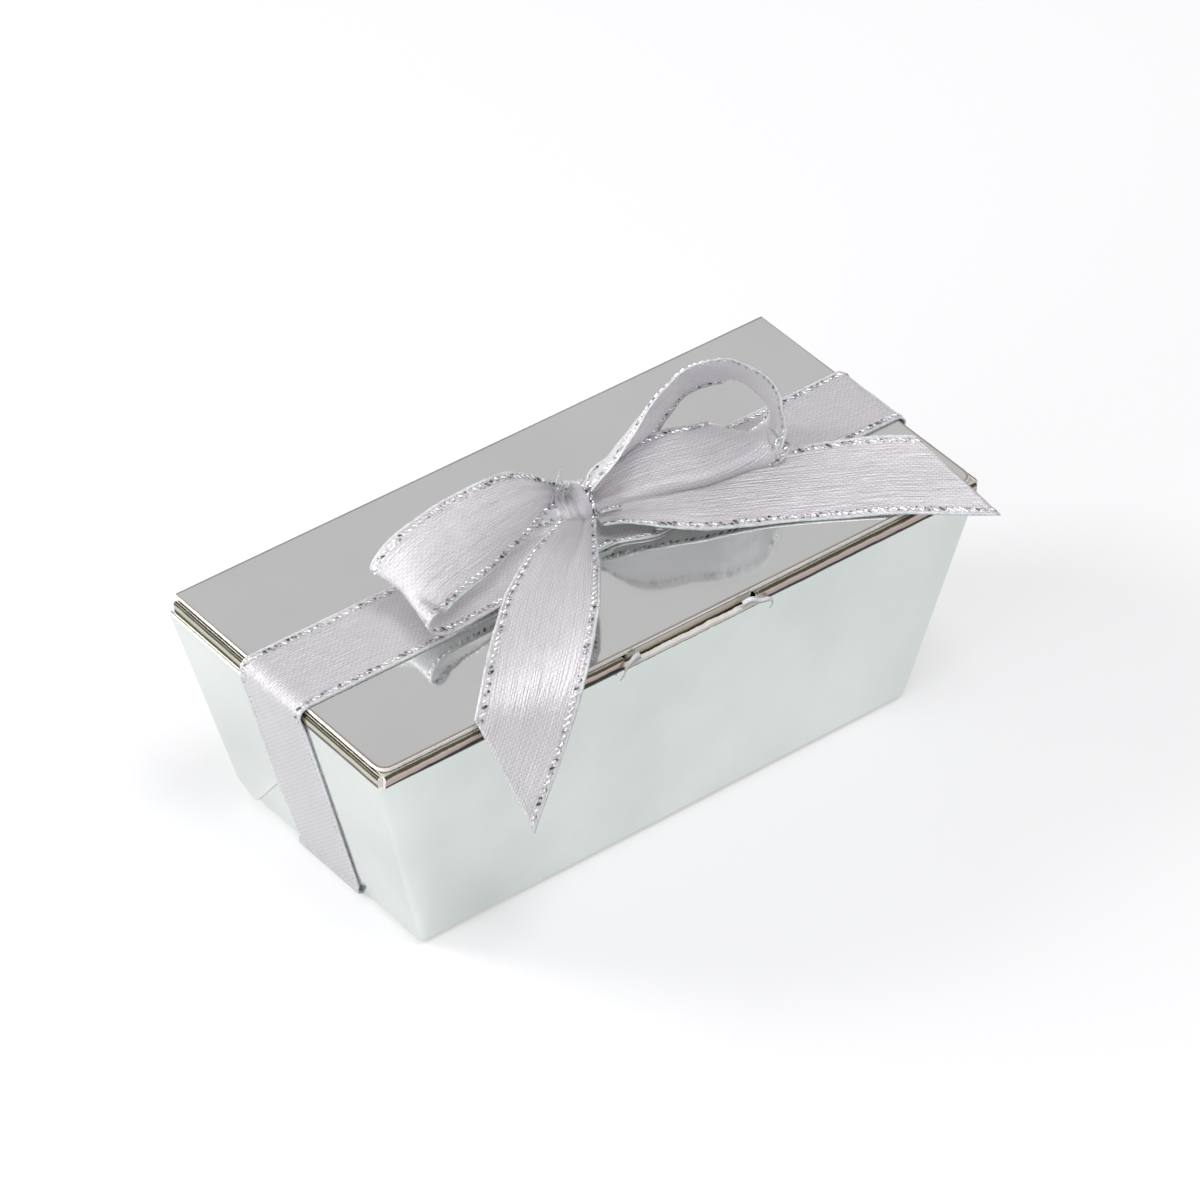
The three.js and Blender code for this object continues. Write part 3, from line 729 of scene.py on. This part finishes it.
def make_glue_flap(side, node):
    """A flap with a diagonal cut at its foot, rounded corners and cut edges."""
    top_z = CREASE_Z - CREASE_LAP
    low_z = FOOT_Z + FOLD_GAP
    back_low_z = FOOT_Z + 2

    def back_at(z):
        return outward(BASE_HALF_WIDTH, TOP_HALF_WIDTH, z) - GLUE_FLAP_BACK

    heel_y = back_at(FOOT_Z) - GLUE_FLAP_HEEL
    outline = rounded_outline(
        [(back_at(top_z), top_z), (back_at(back_low_z), back_low_z), (heel_y, low_z),
         (GLUE_FLAP_FRONT, low_z + (heel_y - GLUE_FLAP_FRONT) * GLUE_FLAP_SLOPE), (GLUE_FLAP_FRONT, top_z)],
        [0, 0.5, 0.8, 0.8, 0.4])
    bevel = 0.07
    centre = sum(outline) / len(outline)
    rings = []
    for stand, shrink in ((0.03, 0), (BOARD - bevel, 0), (BOARD, bevel)):
        drawn = [place - shrink * unit(place - centre) for place in outline]
        rings.append([(side * (outward(BASE_HALF_LENGTH, TOP_HALF_LENGTH, z) + stand), y, z)
                      for y, z in drawn])
    count = len(outline)
    edge = [0 if min(outline[i][1], outline[(i + 1) % count][1]) > top_z - 0.8 else 1 for i in range(count)]
    flap = ring_mesh(node + "_board", rings, [MIRROR, CUT_EDGE, INNER_FACE], edge * 2 + [2, 0])
    crisp(dress(flap, "tray", "mirror_board", node), 25)


make_glue_flap(-1, "left_glue_flap")
make_glue_flap(1, "right_glue_flap")

for node in ("base_panel", "back_base_flap", "left_base_flap", "right_base_flap"):
    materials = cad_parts[node].data.materials
    materials.clear()
    materials.append(INNER_FACE)


# Slivers of film come away at the slit's ends


def torn_film(name, end_x, places, widths):
    """A thin curled sliver along places given from the crease at the slit's end."""
    places = [np.array([end_x, -TOP_HALF_WIDTH, CREASE_Z]) + place for place in places]
    rings = []
    for t in np.linspace(0, 1, 25):
        place = through(places, t)
        along = direction(places, t, 0.01)
        aside = unit(np.cross(along, np.array([0.3, -0.8, 0.5])))
        out = np.cross(aside, along) * 0.04
        half = (widths[0] + (widths[1] - widths[0]) * t) / 2 * (1 + 0.4 * noise.noise((t * 7.0, 2.0, 1.0)))
        rings.append([place - aside * half, place - out, place + aside * half, place + out])
    dress(ring_mesh(name, rings, [TORN_WHITE]), "tray", "mirror_board")


torn_film("slit_right_torn_film", SLIT_RIGHT, [
    (-2.1, -0.15, 1.0), (-1.1, -0.4, 1.25), (-0.2, -0.6, 0.8), (0.9, -0.75, 0.6), (1.4, -0.6, -0.3),
    (1.2, -0.4, -1.0)], (0.7, 0.3))
torn_film("slit_left_torn_film", SLIT_LEFT, [
    (1.8, -0.2, 1.2), (0.9, -0.5, 1.4), (0.1, -0.6, 0.9), (-0.2, -0.45, 0.1), (-0.7, -0.35, -0.8)],
    (0.85, 0.25))


# The ribbon


def frames_along(stations, steps):
    """Middle, along, across and the section's sizes at each step of a ribbon's stations."""
    at = [s[0] for s in stations]
    turns = [s[1] for s in stations]
    shapes = [np.array((*s[2:], 0, 0, 0)[:4], float) for s in stations]
    rows = []
    for t in np.linspace(0, 1, steps + 1):
        first = min(int(t * (len(stations) - 1)), len(stations) - 2)
        part = t * (len(stations) - 1) - first
        along = direction(at, t, 1e-4)
        across = through(turns, t)
        across = unit(across - (across @ along) * along)
        rows.append((through(at, t), along, across, shapes[first] * (1 - part) + shapes[first + 1] * part))
    return rows


def section_point(u, shape):
    """How far across and out of the chord a point lies, with u from -1 at the back edge to 1."""
    reach, camber, _, tuck = shape
    out = camber * (1 - u * u)
    if u <= TUCK_FROM or abs(tuck) < 0.05:
        return reach * u, out
    bend = tuck * (u - TUCK_FROM) / (1 - TUCK_FROM)
    arc = reach * (1 - TUCK_FROM) / tuck
    return reach * TUCK_FROM + arc * sin(bend), out + abs(arc) * (1 - cos(bend))


def ribbon_pieces(name, rows, seed, node_names, rise=None, chain_size=None):
    """A length of satin with its cords and silver chains, from the rows of its middle line.

    rise lifts a point by what lies under it, and chain_size thins the chains at a place."""
    points, weave = [], []
    lines = [[] for _ in EDGE_LINES]
    lengths = distances_along([row[0] for row in rows])
    for (middle, along, across, shape), length in zip(rows, lengths):
        normal = np.cross(along, across)
        slant = shape[2]
        gather = PLEATS * max(1 - (shape[0] / HALF) ** 2, 0)

        def place(u):
            folds = gather * sin(u * 6.0 + seed) * (1 - 0.5 * u * u)
            folds += gather * 0.5 * sin(u * 12.0 + 2.3 * seed)
            ripple = RIPPLE * noise.noise((u * 2.4 + seed, length * 0.06, seed * 3.0))
            ripple += FINE_RIPPLE * noise.noise((u * 7.0 + seed, length * 0.1, seed * 5.0))
            side, out = section_point(u, shape)
            spot = middle + across * side + along * (slant * u)
            out += folds + ripple * (TAUT if rise else 1)
            return spot + normal * (out + (rise(spot, along) if rise else 0))

        def slope_at(u):
            return unit(place(min(u + SLOPE_STEP, 1)) - place(u - SLOPE_STEP))

        upper, lower, upper_weave = [], [], []
        for u in np.linspace(-1, 1, COLUMNS + 1):
            centre = place(u * SATIN_SHARE)
            out = np.cross(along, slope_at(u * SATIN_SHARE)) * SATIN / 2
            upper.append(centre + out)
            lower.append(centre - out)
            upper_weave.append((length + slant * u, u * HALF, 0))
        points += upper + lower[::-1]
        weave += upper_weave + upper_weave[::-1]
        for line, u in zip(lines, EDGE_LINES):
            slope = slope_at(u)
            line.append((place(u), slope, np.cross(along, slope)))
    count = 2 * (COLUMNS + 1)
    faces = tube_faces(len(rows), count, close_ends=False)
    for start, flip in ((0, False), ((len(rows) - 1) * count, True)):
        for j in range(COLUMNS):
            quad = (start + j, start + j + 1, start + count - 2 - j, start + count - 1 - j)
            faces.append(quad if flip else quad[::-1])
    satin = make_mesh(name, points, faces, [SATIN_CLOTH])
    store(satin, "weave", weave)
    dress(satin, "ribbon", "satin_ribbon", *node_names)
    threads = make_threads(name + "_edge_threads", lines[:2], lines[2:], chain_size)


def wound_tube(line, spacing, section, wind):
    """Rings of a thin tube along a line of (place, across, out), and its faces.

    wind gives its shift aside, its shift away and its size, from the distance and the place."""
    sides = 6
    distances = distances_along([row[0] for row in line])
    steps = max(int(distances[-1] / spacing), 8)
    points = []
    for i in range(steps + 1):
        distance = distances[-1] * i / steps
        k, f = span_at(distances, distance)
        place, across, out = [line[k][c] * (1 - f) + line[k + 1][c] * f for c in range(3)]
        aside, away, size = wind(distance, place)
        flat = PRESSED if place[2] < PRESSED_BELOW else 1.0
        middle = place + across * aside + out * away * flat
        for a in np.arange(sides) * TURN / sides:
            offset = across * section[0] * cos(a) + out * section[1] * flat * sin(a)
            points.append(middle + size * offset)
    return points, tube_faces(steps + 1, sides)


def make_threads(name, chains, cords, chain_size=None):
    """A ribbon's pale cords and silver chains, each chain of two flat strands."""
    points, faces, marks = [], [], []

    def add(tube, mark):
        start = len(points)
        points.extend(tube[0])
        faces.extend([tuple(start + index for index in face) for face in tube[1]])
        marks.extend([mark] * len(tube[1]))

    def strand_wind(which, phase):
        def wind(distance, place):
            drift = 1.2 * noise.noise((distance * 0.35, which * 3.0, 5.0))
            turn = TURN * distance / CHAIN_PITCH + phase + drift
            uneven = 1 + 0.35 * noise.noise((distance * 0.8, phase, which * 7.0))
            size = 1 + 0.35 * noise.noise((distance * 1.7, phase + 4.0, which * 2.0))
            size *= chain_size(place) if chain_size else 1
            aside, away = CHAIN_SWING[0] * uneven * cos(turn), CHAIN_SWING[1] * sin(turn)
            return size * aside, size * away, size
        return wind

    def cord_wind(which):
        def wind(distance, place):
            return CORD_DRIFT * noise.noise((distance * 0.8, which * 5.0, 1.0)), 0, 1
        return wind

    for which, chain in enumerate(chains):
        for phase in (0, pi):
            add(wound_tube(chain, CHAIN_STEP, CHAIN_STRAND, strand_wind(which, phase)), 0)
    for which, cord in enumerate(cords):
        add(wound_tube(cord, CORD_STEP, CORD, cord_wind(which)), 1)
    return dress(make_mesh(name, points, faces, [THREAD_PAINTED_GLINTS, SELVEDGE], marks), "ribbon", "satin_ribbon")


# The bow's loops and tails


def on_lid(stations):
    """Stations given from the knot's foot on the lid."""
    foot = np.array([KNOT_MIDDLE[0], 0, LID_TOP])
    return [(foot + np.array(s[0]), *s[1:]) for s in stations]


# Each station: its place, the direction across from back edge to front edge, the half width, and
# where they aren't 0 the camber, the slant and the tuck of the front edge
LEFT_LOOP = on_lid([
    ([-1, 1.4, 4.2], [0, -0.5, -0.85], 1),
    ([-2.8, 1.9, 5.2], [0, -0.5, -0.85], 1.3),
    ([-8.2, 0.9, 6.9], [0, -0.5, -0.87], 3.7, 0.5),
    ([-15.2, -0.2, 7], [0, -0.76, -0.65], 4.4, 0.8),
    ([-21.2, -0.9, 6], [0, -0.85, -0.52], 4.6, 0.3),
    ([-23, -1.1, 4.5], [0, -0.9, -0.42], 4.7, 0.1),
    ([-21.8, -1.1, 2.9], [0, -0.95, -0.3], 4.7, 0.1),
    ([-14.8, -0.6, 1.8], [0, -1, -0.1], 4.7, 0.1),
    ([-8.2, 0, 1.4], [0, -1, 0], 4.3, 0.1),
    ([-3.3, 0, 1.5], [0, -1, 0], 2.5),
    ([-1.2, 0, 1.8], [0, -1, 0], 2),
])
RIGHT_LOOP = on_lid([
    ([1.2, 0.8, 3], [-0.37, -0.91, -0.2], 1.8),
    ([3, 0.9, 3.1], [-0.38, -0.9, -0.2], 2.3),
    ([4.9, 1.1, 3.1], [-0.4, -0.88, -0.26], 3.2, -0.2, 0, 1.6),
    ([8.2, 0.4, 3.3], [-0.44, -0.85, -0.3], 4.3, -0.6, 0, 3.2),
    ([11.2, -0.5, 3.3], [-0.42, -0.85, -0.33], 4.7, -0.6, 0, 3.9),
    ([13.9, -1.2, 3.2], [-0.5, -0.82, -0.26], 4.8, -0.6, 0, 4),
    ([17.6, -1.4, 3.1], [-0.55, -0.82, -0.1], 4.8, -0.4, 0, 3.6),
    ([20.8, -1.3, 3], [-0.53, -0.8, 0.18], 4.8, -0.2, 0, 2.3),
    ([22.8, -1.2, 3.5], [-0.5, -0.71, 0.49], 4.8, 0, 0, 1),
    ([23.1, -1.3, 4.8], [-0.44, -0.68, 0.58], 4.8, 0.1, 0, 0.4),
    ([22.4, -0.4, 7.6], [-0.38, -0.57, 0.73], 4.8, 0.2),
    ([20.9, 0.6, 9.6], [-0.38, -0.48, 0.79], 4.8, 0.3),
    ([19, 2, 10.4], [-0.39, -0.46, 0.8], 4.8, 0.4),
    ([16, 3, 10.1], [-0.45, -0.45, 0.78], 4.7, 0.6),
    ([12.6, 2.6, 9], [-0.54, -0.43, 0.73], 4.6, 0.9),
    ([9.2, 1.8, 7.4], [-0.6, -0.42, 0.7], 4.3, 1.3),
    ([6.2, 1.5, 6.2], [-0.6, -0.5, 0.6], 3.2, 1.1),
    ([3.4, 1.5, 5], [-0.62, -0.65, 0.4], 2, 0.4),
    ([1.2, 1.2, 4], [-0.6, -0.7, 0.3], 1.4),
])
FRONT_TAIL = on_lid([
    ([-0.6, -0.6, 3.6], [0.85, -0.45, -0.2], 1.4),
    ([-2.6, -2.2, 3.6], [0.85, -0.45, -0.2], 1.9, 0.2),
    ([-7.6, -6.5, 4.3], [0.82, -0.56, -0.1], 3.7, 0.5),
    ([-12.2, -10.6, 4.4], [0.8, -0.58, 0], 4.8, 0.4),
    ([-17.1, -15, 3.2], [0.82, -0.52, -0.12], HALF, 0.2),
    ([-20.9, -18.1, 1.2], [0.82, -0.46, -0.26], HALF),
    ([-23.2, -19.6, -1.2], [0.81, -0.43, -0.36], HALF),
    ([-25.8, -20.6, -4.6], [0.81, -0.43, -0.39], HALF, 0, 4.5),
])
RIGHT_TAIL = on_lid([
    ([1, -0.6, 2.2], [-0.3, -0.95, 0], 1.8),
    ([3.3, -1, 1.9], [-0.3, -0.95, 0], 2.2, -0.3),
    ([6.9, -1.7, 1.4], [-0.35, -0.93, -0.05], 3.7, -0.55),
    ([11.5, -3.3, 0.9], [-0.42, -0.9, -0.07], 4.8, -0.65),
    ([16.2, -5.2, 0.75], [-0.44, -0.89, -0.12], HALF, -0.5),
    ([20, -7.1, 0.9], [-0.46, -0.87, -0.16], HALF, -0.25),
    ([25, -10.2, 1.35], [-0.48, -0.84, -0.25], HALF),
    ([29.4, -13, 1.6], [-0.56, -0.78, -0.26], HALF),
    ([34.4, -17.5, 1.9], [-0.66, -0.7, -0.25], HALF, 0, 4.5),
])

for stations, steps, seed, node, held in (
        (LEFT_LOOP, 150, 1.0, "bow_left_loop", "folded"), (RIGHT_LOOP, 190, 2.2, "bow_right_loop", "folded"),
        (FRONT_TAIL, 130, 3.7, "bow_front_tail", "draped"), (RIGHT_TAIL, 130, 5.1, "bow_right_tail", "laid")):
    ribbon_pieces(node + "_satin", frames_along(stations, steps), seed, [node])


# The ribbon round the box


def round_the_box():
    """The ribbon's middle line from the knot over the left end, under the base and back.

    Its two ends cross under the knot."""
    edge_x = corners("ribbon_right_run")[1][0] - 0.1
    foot_x = corners("ribbon_base_run")[1][0]
    turn_x, turn_z = edge_x - STRAP_TURN, STRAP_Z - STRAP_TURN
    side = [(x, STRAP_Z) for x in np.linspace(STRAP_FROM, turn_x, 20)]
    side += [(turn_x + STRAP_TURN * sin(a), turn_z + STRAP_TURN * cos(a)) for a in np.linspace(0.2, 1.4, 6)]
    side += [(outward(BASE_HALF_LENGTH, TOP_HALF_LENGTH, z) + LEG_STAND, z)
             for z in np.linspace(CREASE_Z - LEG_TOP, 1.3, 10)]
    side += [(foot_x - 0.35, 0.55), (foot_x - 0.9, 0.2)]
    under = [(x, UNDER_Z) for x in np.linspace(-foot_x + 2, foot_x - 2, 20)]
    upper_end = [(1.6, STRAP_Z + 0.45), (0.2, STRAP_Z + 0.45), (-1.4, STRAP_Z + 0.1)]
    lower_end = [(1.2, STRAP_Z + 0.1), (-1.2, STRAP_Z + 0.1)]
    return upper_end + [(-x, z) for x, z in side] + under + side[::-1] + lower_end


def band_rows(path, steps):
    """Evenly spaced rows along a path in the X-Z plane, narrower near the knot."""
    path = [np.array([x, 0.0, z]) for x, z in path]
    distances = distances_along(path)
    end = distances[-1]

    def at(distance):
        k, f = span_at(distances, distance)
        return path[k] + (path[k + 1] - path[k]) * f

    rows = []
    for distance in np.linspace(0, end, steps + 1):
        along = unit(at(min(distance + 0.3, end)) - at(max(distance - 0.3, 0)))
        spot = at(distance)
        spread = ease(clamp((abs(spot[0]) - 1.5) / 5)) if spot[2] > CREASE_Z else 1
        reach = GATHERED_HALF + (HALF - GATHERED_HALF) * spread
        rows.append((spot, along, np.array([0.0, -1.0, 0.0]), np.array([reach, 0, 0, 0])))
    return rows


def over_glue_flap(spot, along):
    """On the legs, the back part of the ribbon lies over the glue flap."""
    below_rim = clamp((CREASE_Z + 0.9 - spot[2]) / 1.2)
    flap_foot = FOOT_Z + (BASE_HALF_WIDTH - GLUE_FLAP_HEEL - max(spot[1], GLUE_FLAP_FRONT)) * GLUE_FLAP_SLOPE
    above_foot = clamp(spot[2] / flap_foot)
    behind_front = ease(clamp((spot[1] + HALF) / (GLUE_FLAP_FRONT + HALF)))
    return BOARD * along[2] ** 2 * below_rim * above_foot * behind_front


def band_chain_size(place):
    """The chains are thinner on the legs, and thinnest under the box."""
    if place[2] > CREASE_Z:
        return 1
    return 0.5 if place[2] > 1.6 else 0.25


BAND_NODES = ["ribbon_" + run + "_run" for run in ("base", "left", "right", "top_left", "top_right")]
ribbon_pieces("ribbon_round_box", band_rows(round_the_box(), 420), 6.3, BAND_NODES,
              rise=over_glue_flap, chain_size=band_chain_size)


# The knot


def make_knot():
    """The gathered wrap round the bow's middle, with a silver chain."""
    around, columns = 84, 30
    points, weave = [], []
    for a in np.arange(around) * TURN / around:
        for u in np.linspace(-1, 1, columns + 1):
            swell = 1.0 - 0.22 * u * u
            gathers = 0.22 * sin(u * 5.0 + 0.9 * sin(a)) + 0.08 * sin(u * 13.0 + a)
            gathers *= 1 - 0.4 * abs(u)
            x = u * WRAP_LENGTH / 2 + 0.7 * sin(a + 0.5) - 0.5 * cos(a)
            y = (WRAP_WIDTH / 2 * swell + gathers) * sin(a)
            z = (WRAP_HEIGHT / 2 * swell + gathers) * cos(a)
            points.append(WRAP_MIDDLE + np.array([x, y, z]))
            weave.append((a * 3.0, u * HALF, 0))
    count = columns + 1
    faces = []
    for i in range(around):
        for j in range(columns):
            a, b = i * count + j, ((i + 1) % around) * count + j
            faces.append((a, a + 1, b + 1, b))
    for j in (0, columns):
        faces.append(tuple(i * count + j for i in range(around)))
    knot = make_mesh("bow_knot_wrap", points, faces, [SATIN_CLOTH])
    store(knot, "weave", weave)
    dress(knot, "ribbon", "satin_ribbon", "bow_knot")
    ring = points[columns - 1::count]
    chain = []
    for k in range(around + 1):
        place = ring[k % around]
        along = unit(ring[(k + 1) % around] - ring[(k - 1) % around])
        out = unit((place - WRAP_MIDDLE) * (0, 1, 1))
        chain.append((place + out * 0.1, np.cross(out, along), out))
    make_threads("bow_knot_threads", [chain], [])


def make_frayed_threads():
    """Fine pale threads that stick out of the knot."""
    chance = np.random.RandomState(11)
    shares = np.linspace(0, 1, 6)
    points, faces = [], []
    for _ in range(FRAYED_THREADS):
        start = TUFT_ROOT + chance.uniform(-0.5, 0.5, 3) * (2.0, 1.2, 0.5)
        lean = np.array([-0.25, -0.45, 0.75]) + chance.uniform(-0.75, 0.75, 3)
        fall = chance.uniform(-0.7, 0.7, 3) + (0, -0.3, -0.6)
        reach = chance.uniform(0.7, 1.9)
        faces += tube_faces(len(shares), 3, len(points))
        for t in shares:
            place = start + (lean * t + fall * t * t) * reach
            thick = 0.1 * (1 - 0.6 * t)
            points += [place + thick * np.array(side) for side in ((1, 0, 0), (0, 1, 0), (-0.6, -0.6, 0.5))]
    dress(make_mesh("bow_knot_frayed_threads", points, faces, [SELVEDGE]), "ribbon", "satin_ribbon")


make_knot()
make_frayed_threads()


# The chocolates and their cups


def make_cup(side, node):
    """A pleated paper cup: fine sharp flutes, deeper towards its wavy rim."""
    (left, _, foot), (right, _, top) = corners(node)
    middle = (left + right) / 2
    flutes, steps, rows = 36, 36 * 6, 8
    base_radius, top_radius = 10.6, (right - left) / 2 - 0.4
    paper = 0.12
    levels = np.linspace(0, 1, rows + 1)
    rings = []
    for skin, skin_levels in enumerate((levels, levels[::-1])):
        for level in skin_levels:
            ring = []
            for a in np.arange(steps) * TURN / steps:
                wave = cos(flutes * a)
                depth = 0.15 + 0.3 * level
                r = base_radius + (top_radius - base_radius) * level + depth * wave - skin * paper
                wobble = 0.15 * level * sin(3 * a + side)
                z = foot + (top - foot) * level + (0.3 * wave + wobble - 0.4) * level ** 4
                ring.append((middle + r * cos(a), r * sin(a), max(z, foot + skin * paper)))
            rings.append(ring)
    crisp(dress(ring_mesh(node + "_pleated", rings, [CUP_PAPER]), "tray", "cup_paper", node), 60)


# From its foot up, as shares of its radius and height
PRALINE_PROFILE = [(0.85, 0), (0.93, 0.03), (0.97, 0.12), (1.0, 0.35), (0.985, 0.5), (0.93, 0.66),
                   (0.8, 0.82), (0.6, 0.92), (0.35, 0.975)]


def make_praline(node):
    """A moulded chocolate: a dome with a soft foot and a faint swirl."""
    (left, _, foot), (right, _, top) = corners(node)
    middle = (left + right) / 2
    steps = 64
    points = []
    for share_r, share_z in PRALINE_PROFILE:
        for a in np.arange(steps) * TURN / steps:
            r = (right - left) / 2 * share_r * (1 + 0.012 * sin(6 * a + share_z * 4) * share_z)
            points.append((middle + r * cos(a), r * sin(a), foot + (top - foot) * share_z))
    faces = tube_faces(len(PRALINE_PROFILE), steps, close_ends=False)
    lowest, highest = len(points), len(points) + 1
    points += [(middle, 0, foot), (middle, 0, top)]
    last = (len(PRALINE_PROFILE) - 1) * steps
    for i in range(steps):
        j = (i + 1) % steps
        faces += [(lowest, j, i), (highest, last + i, last + j)]
    sweet = make_mesh(node + "_moulded", points, faces, [CHOCOLATE])
    smooth = sweet.modifiers.new("smooth", "SUBSURF")
    smooth.levels = smooth.render_levels = 1
    dress(sweet, "tray", "chocolate", node)


for side, name in ((-1, "left"), (1, "right")):
    make_cup(side, "paper_cup_" + name)
    make_praline("praline_" + name)


# The floor, the lamps and the world

FLOOR_HALF = 900
FLOOR_LIFT = 0.46  # its glow, for the camera and mirrors only


def seen_directly(tree):
    """1 for camera, glossy and transmission rays, and 0 for the rays that light things."""
    path = add_node(tree, "LightPath").outputs
    seen = maths(tree, "MAXIMUM", path["Is Camera Ray"], path["Is Glossy Ray"])
    return maths(tree, "MAXIMUM", seen, path["Is Transmission Ray"])


def make_floor():
    plan = [(x * FLOOR_HALF, y * FLOOR_HALF, 0) for x, y in ((-1, -1), (1, -1), (1, 1), (-1, 1))]
    material, tree, shader = new_material("pale_floor")
    put(shader, {"Base Color": (0.5, 0.5, 0.51, 1), "Roughness": 0.9, "Specular IOR Level": 0.1,
                 "Emission Color": (1, 1, 1, 1),
                 "Emission Strength": maths(tree, "MULTIPLY", seen_directly(tree), FLOOR_LIFT)})
    make_mesh("floor", plan, [(0, 1, 2, 3)], [material], closed=False)


def make_lamp(name, toward, distance, size, watts):
    """A square soft lamp that points at the box."""
    data = bpy.data.lights.new(name, "AREA")
    data.size = size
    data.energy = watts
    lamp = bpy.data.objects.new(name, data)
    toward = Vector(toward).normalized()
    lamp.location = toward * distance
    lamp.rotation_euler = toward.to_track_quat("Z", "Y").to_euler()
    bpy.context.scene.collection.objects.link(lamp)


def make_world():
    """Mirrors see white at the horizon and grey above, and more light comes from the left."""
    world = bpy.data.worlds.new("studio")
    bpy.context.scene.world = world
    world.use_nodes = True
    tree = world.node_tree
    tree.nodes.clear()
    toward = add_node(tree, "SeparateXYZ", Vector=add_node(tree, "TexCoord").outputs["Generated"]).outputs
    seen_colour = ramp(tree, toward["Z"], [
        (0.2, (1, 1, 1)), (0.4, (0.68, 0.635, 0.655)), (1, (0.66, 0.63, 0.65))])
    light_colour = ramp(tree, maths(tree, "MULTIPLY", toward["X"], -1.0), [
        (0.1, (0.372, 0.374, 0.38)), (0.55, (0.5, 0.505, 0.51)), (1.0, (1.1, 1.1, 1.12))])
    lit, seen = [add_node(tree, "Background", Color=colour, Strength=1.0).outputs[0]
                 for colour in (light_colour, seen_colour)]
    mix = put(add_node(tree, "MixShader"), {0: seen_directly(tree), 1: lit, 2: seen})
    add_node(tree, "OutputWorld", Surface=mix.outputs[0])


make_floor()
make_lamp("key", (-0.61, 0.6, 0.5), 0.8, 0.28, 3.2)
make_lamp("overhead", (0.03, -0.27, 0.96), 0.8, 0.3, 2.4)
make_lamp("left fill", (-0.97, -0.12, 0.2), 0.8, 0.3, 2.0)
make_world()
bpy.context.scene.view_settings.view_transform = "Standard"
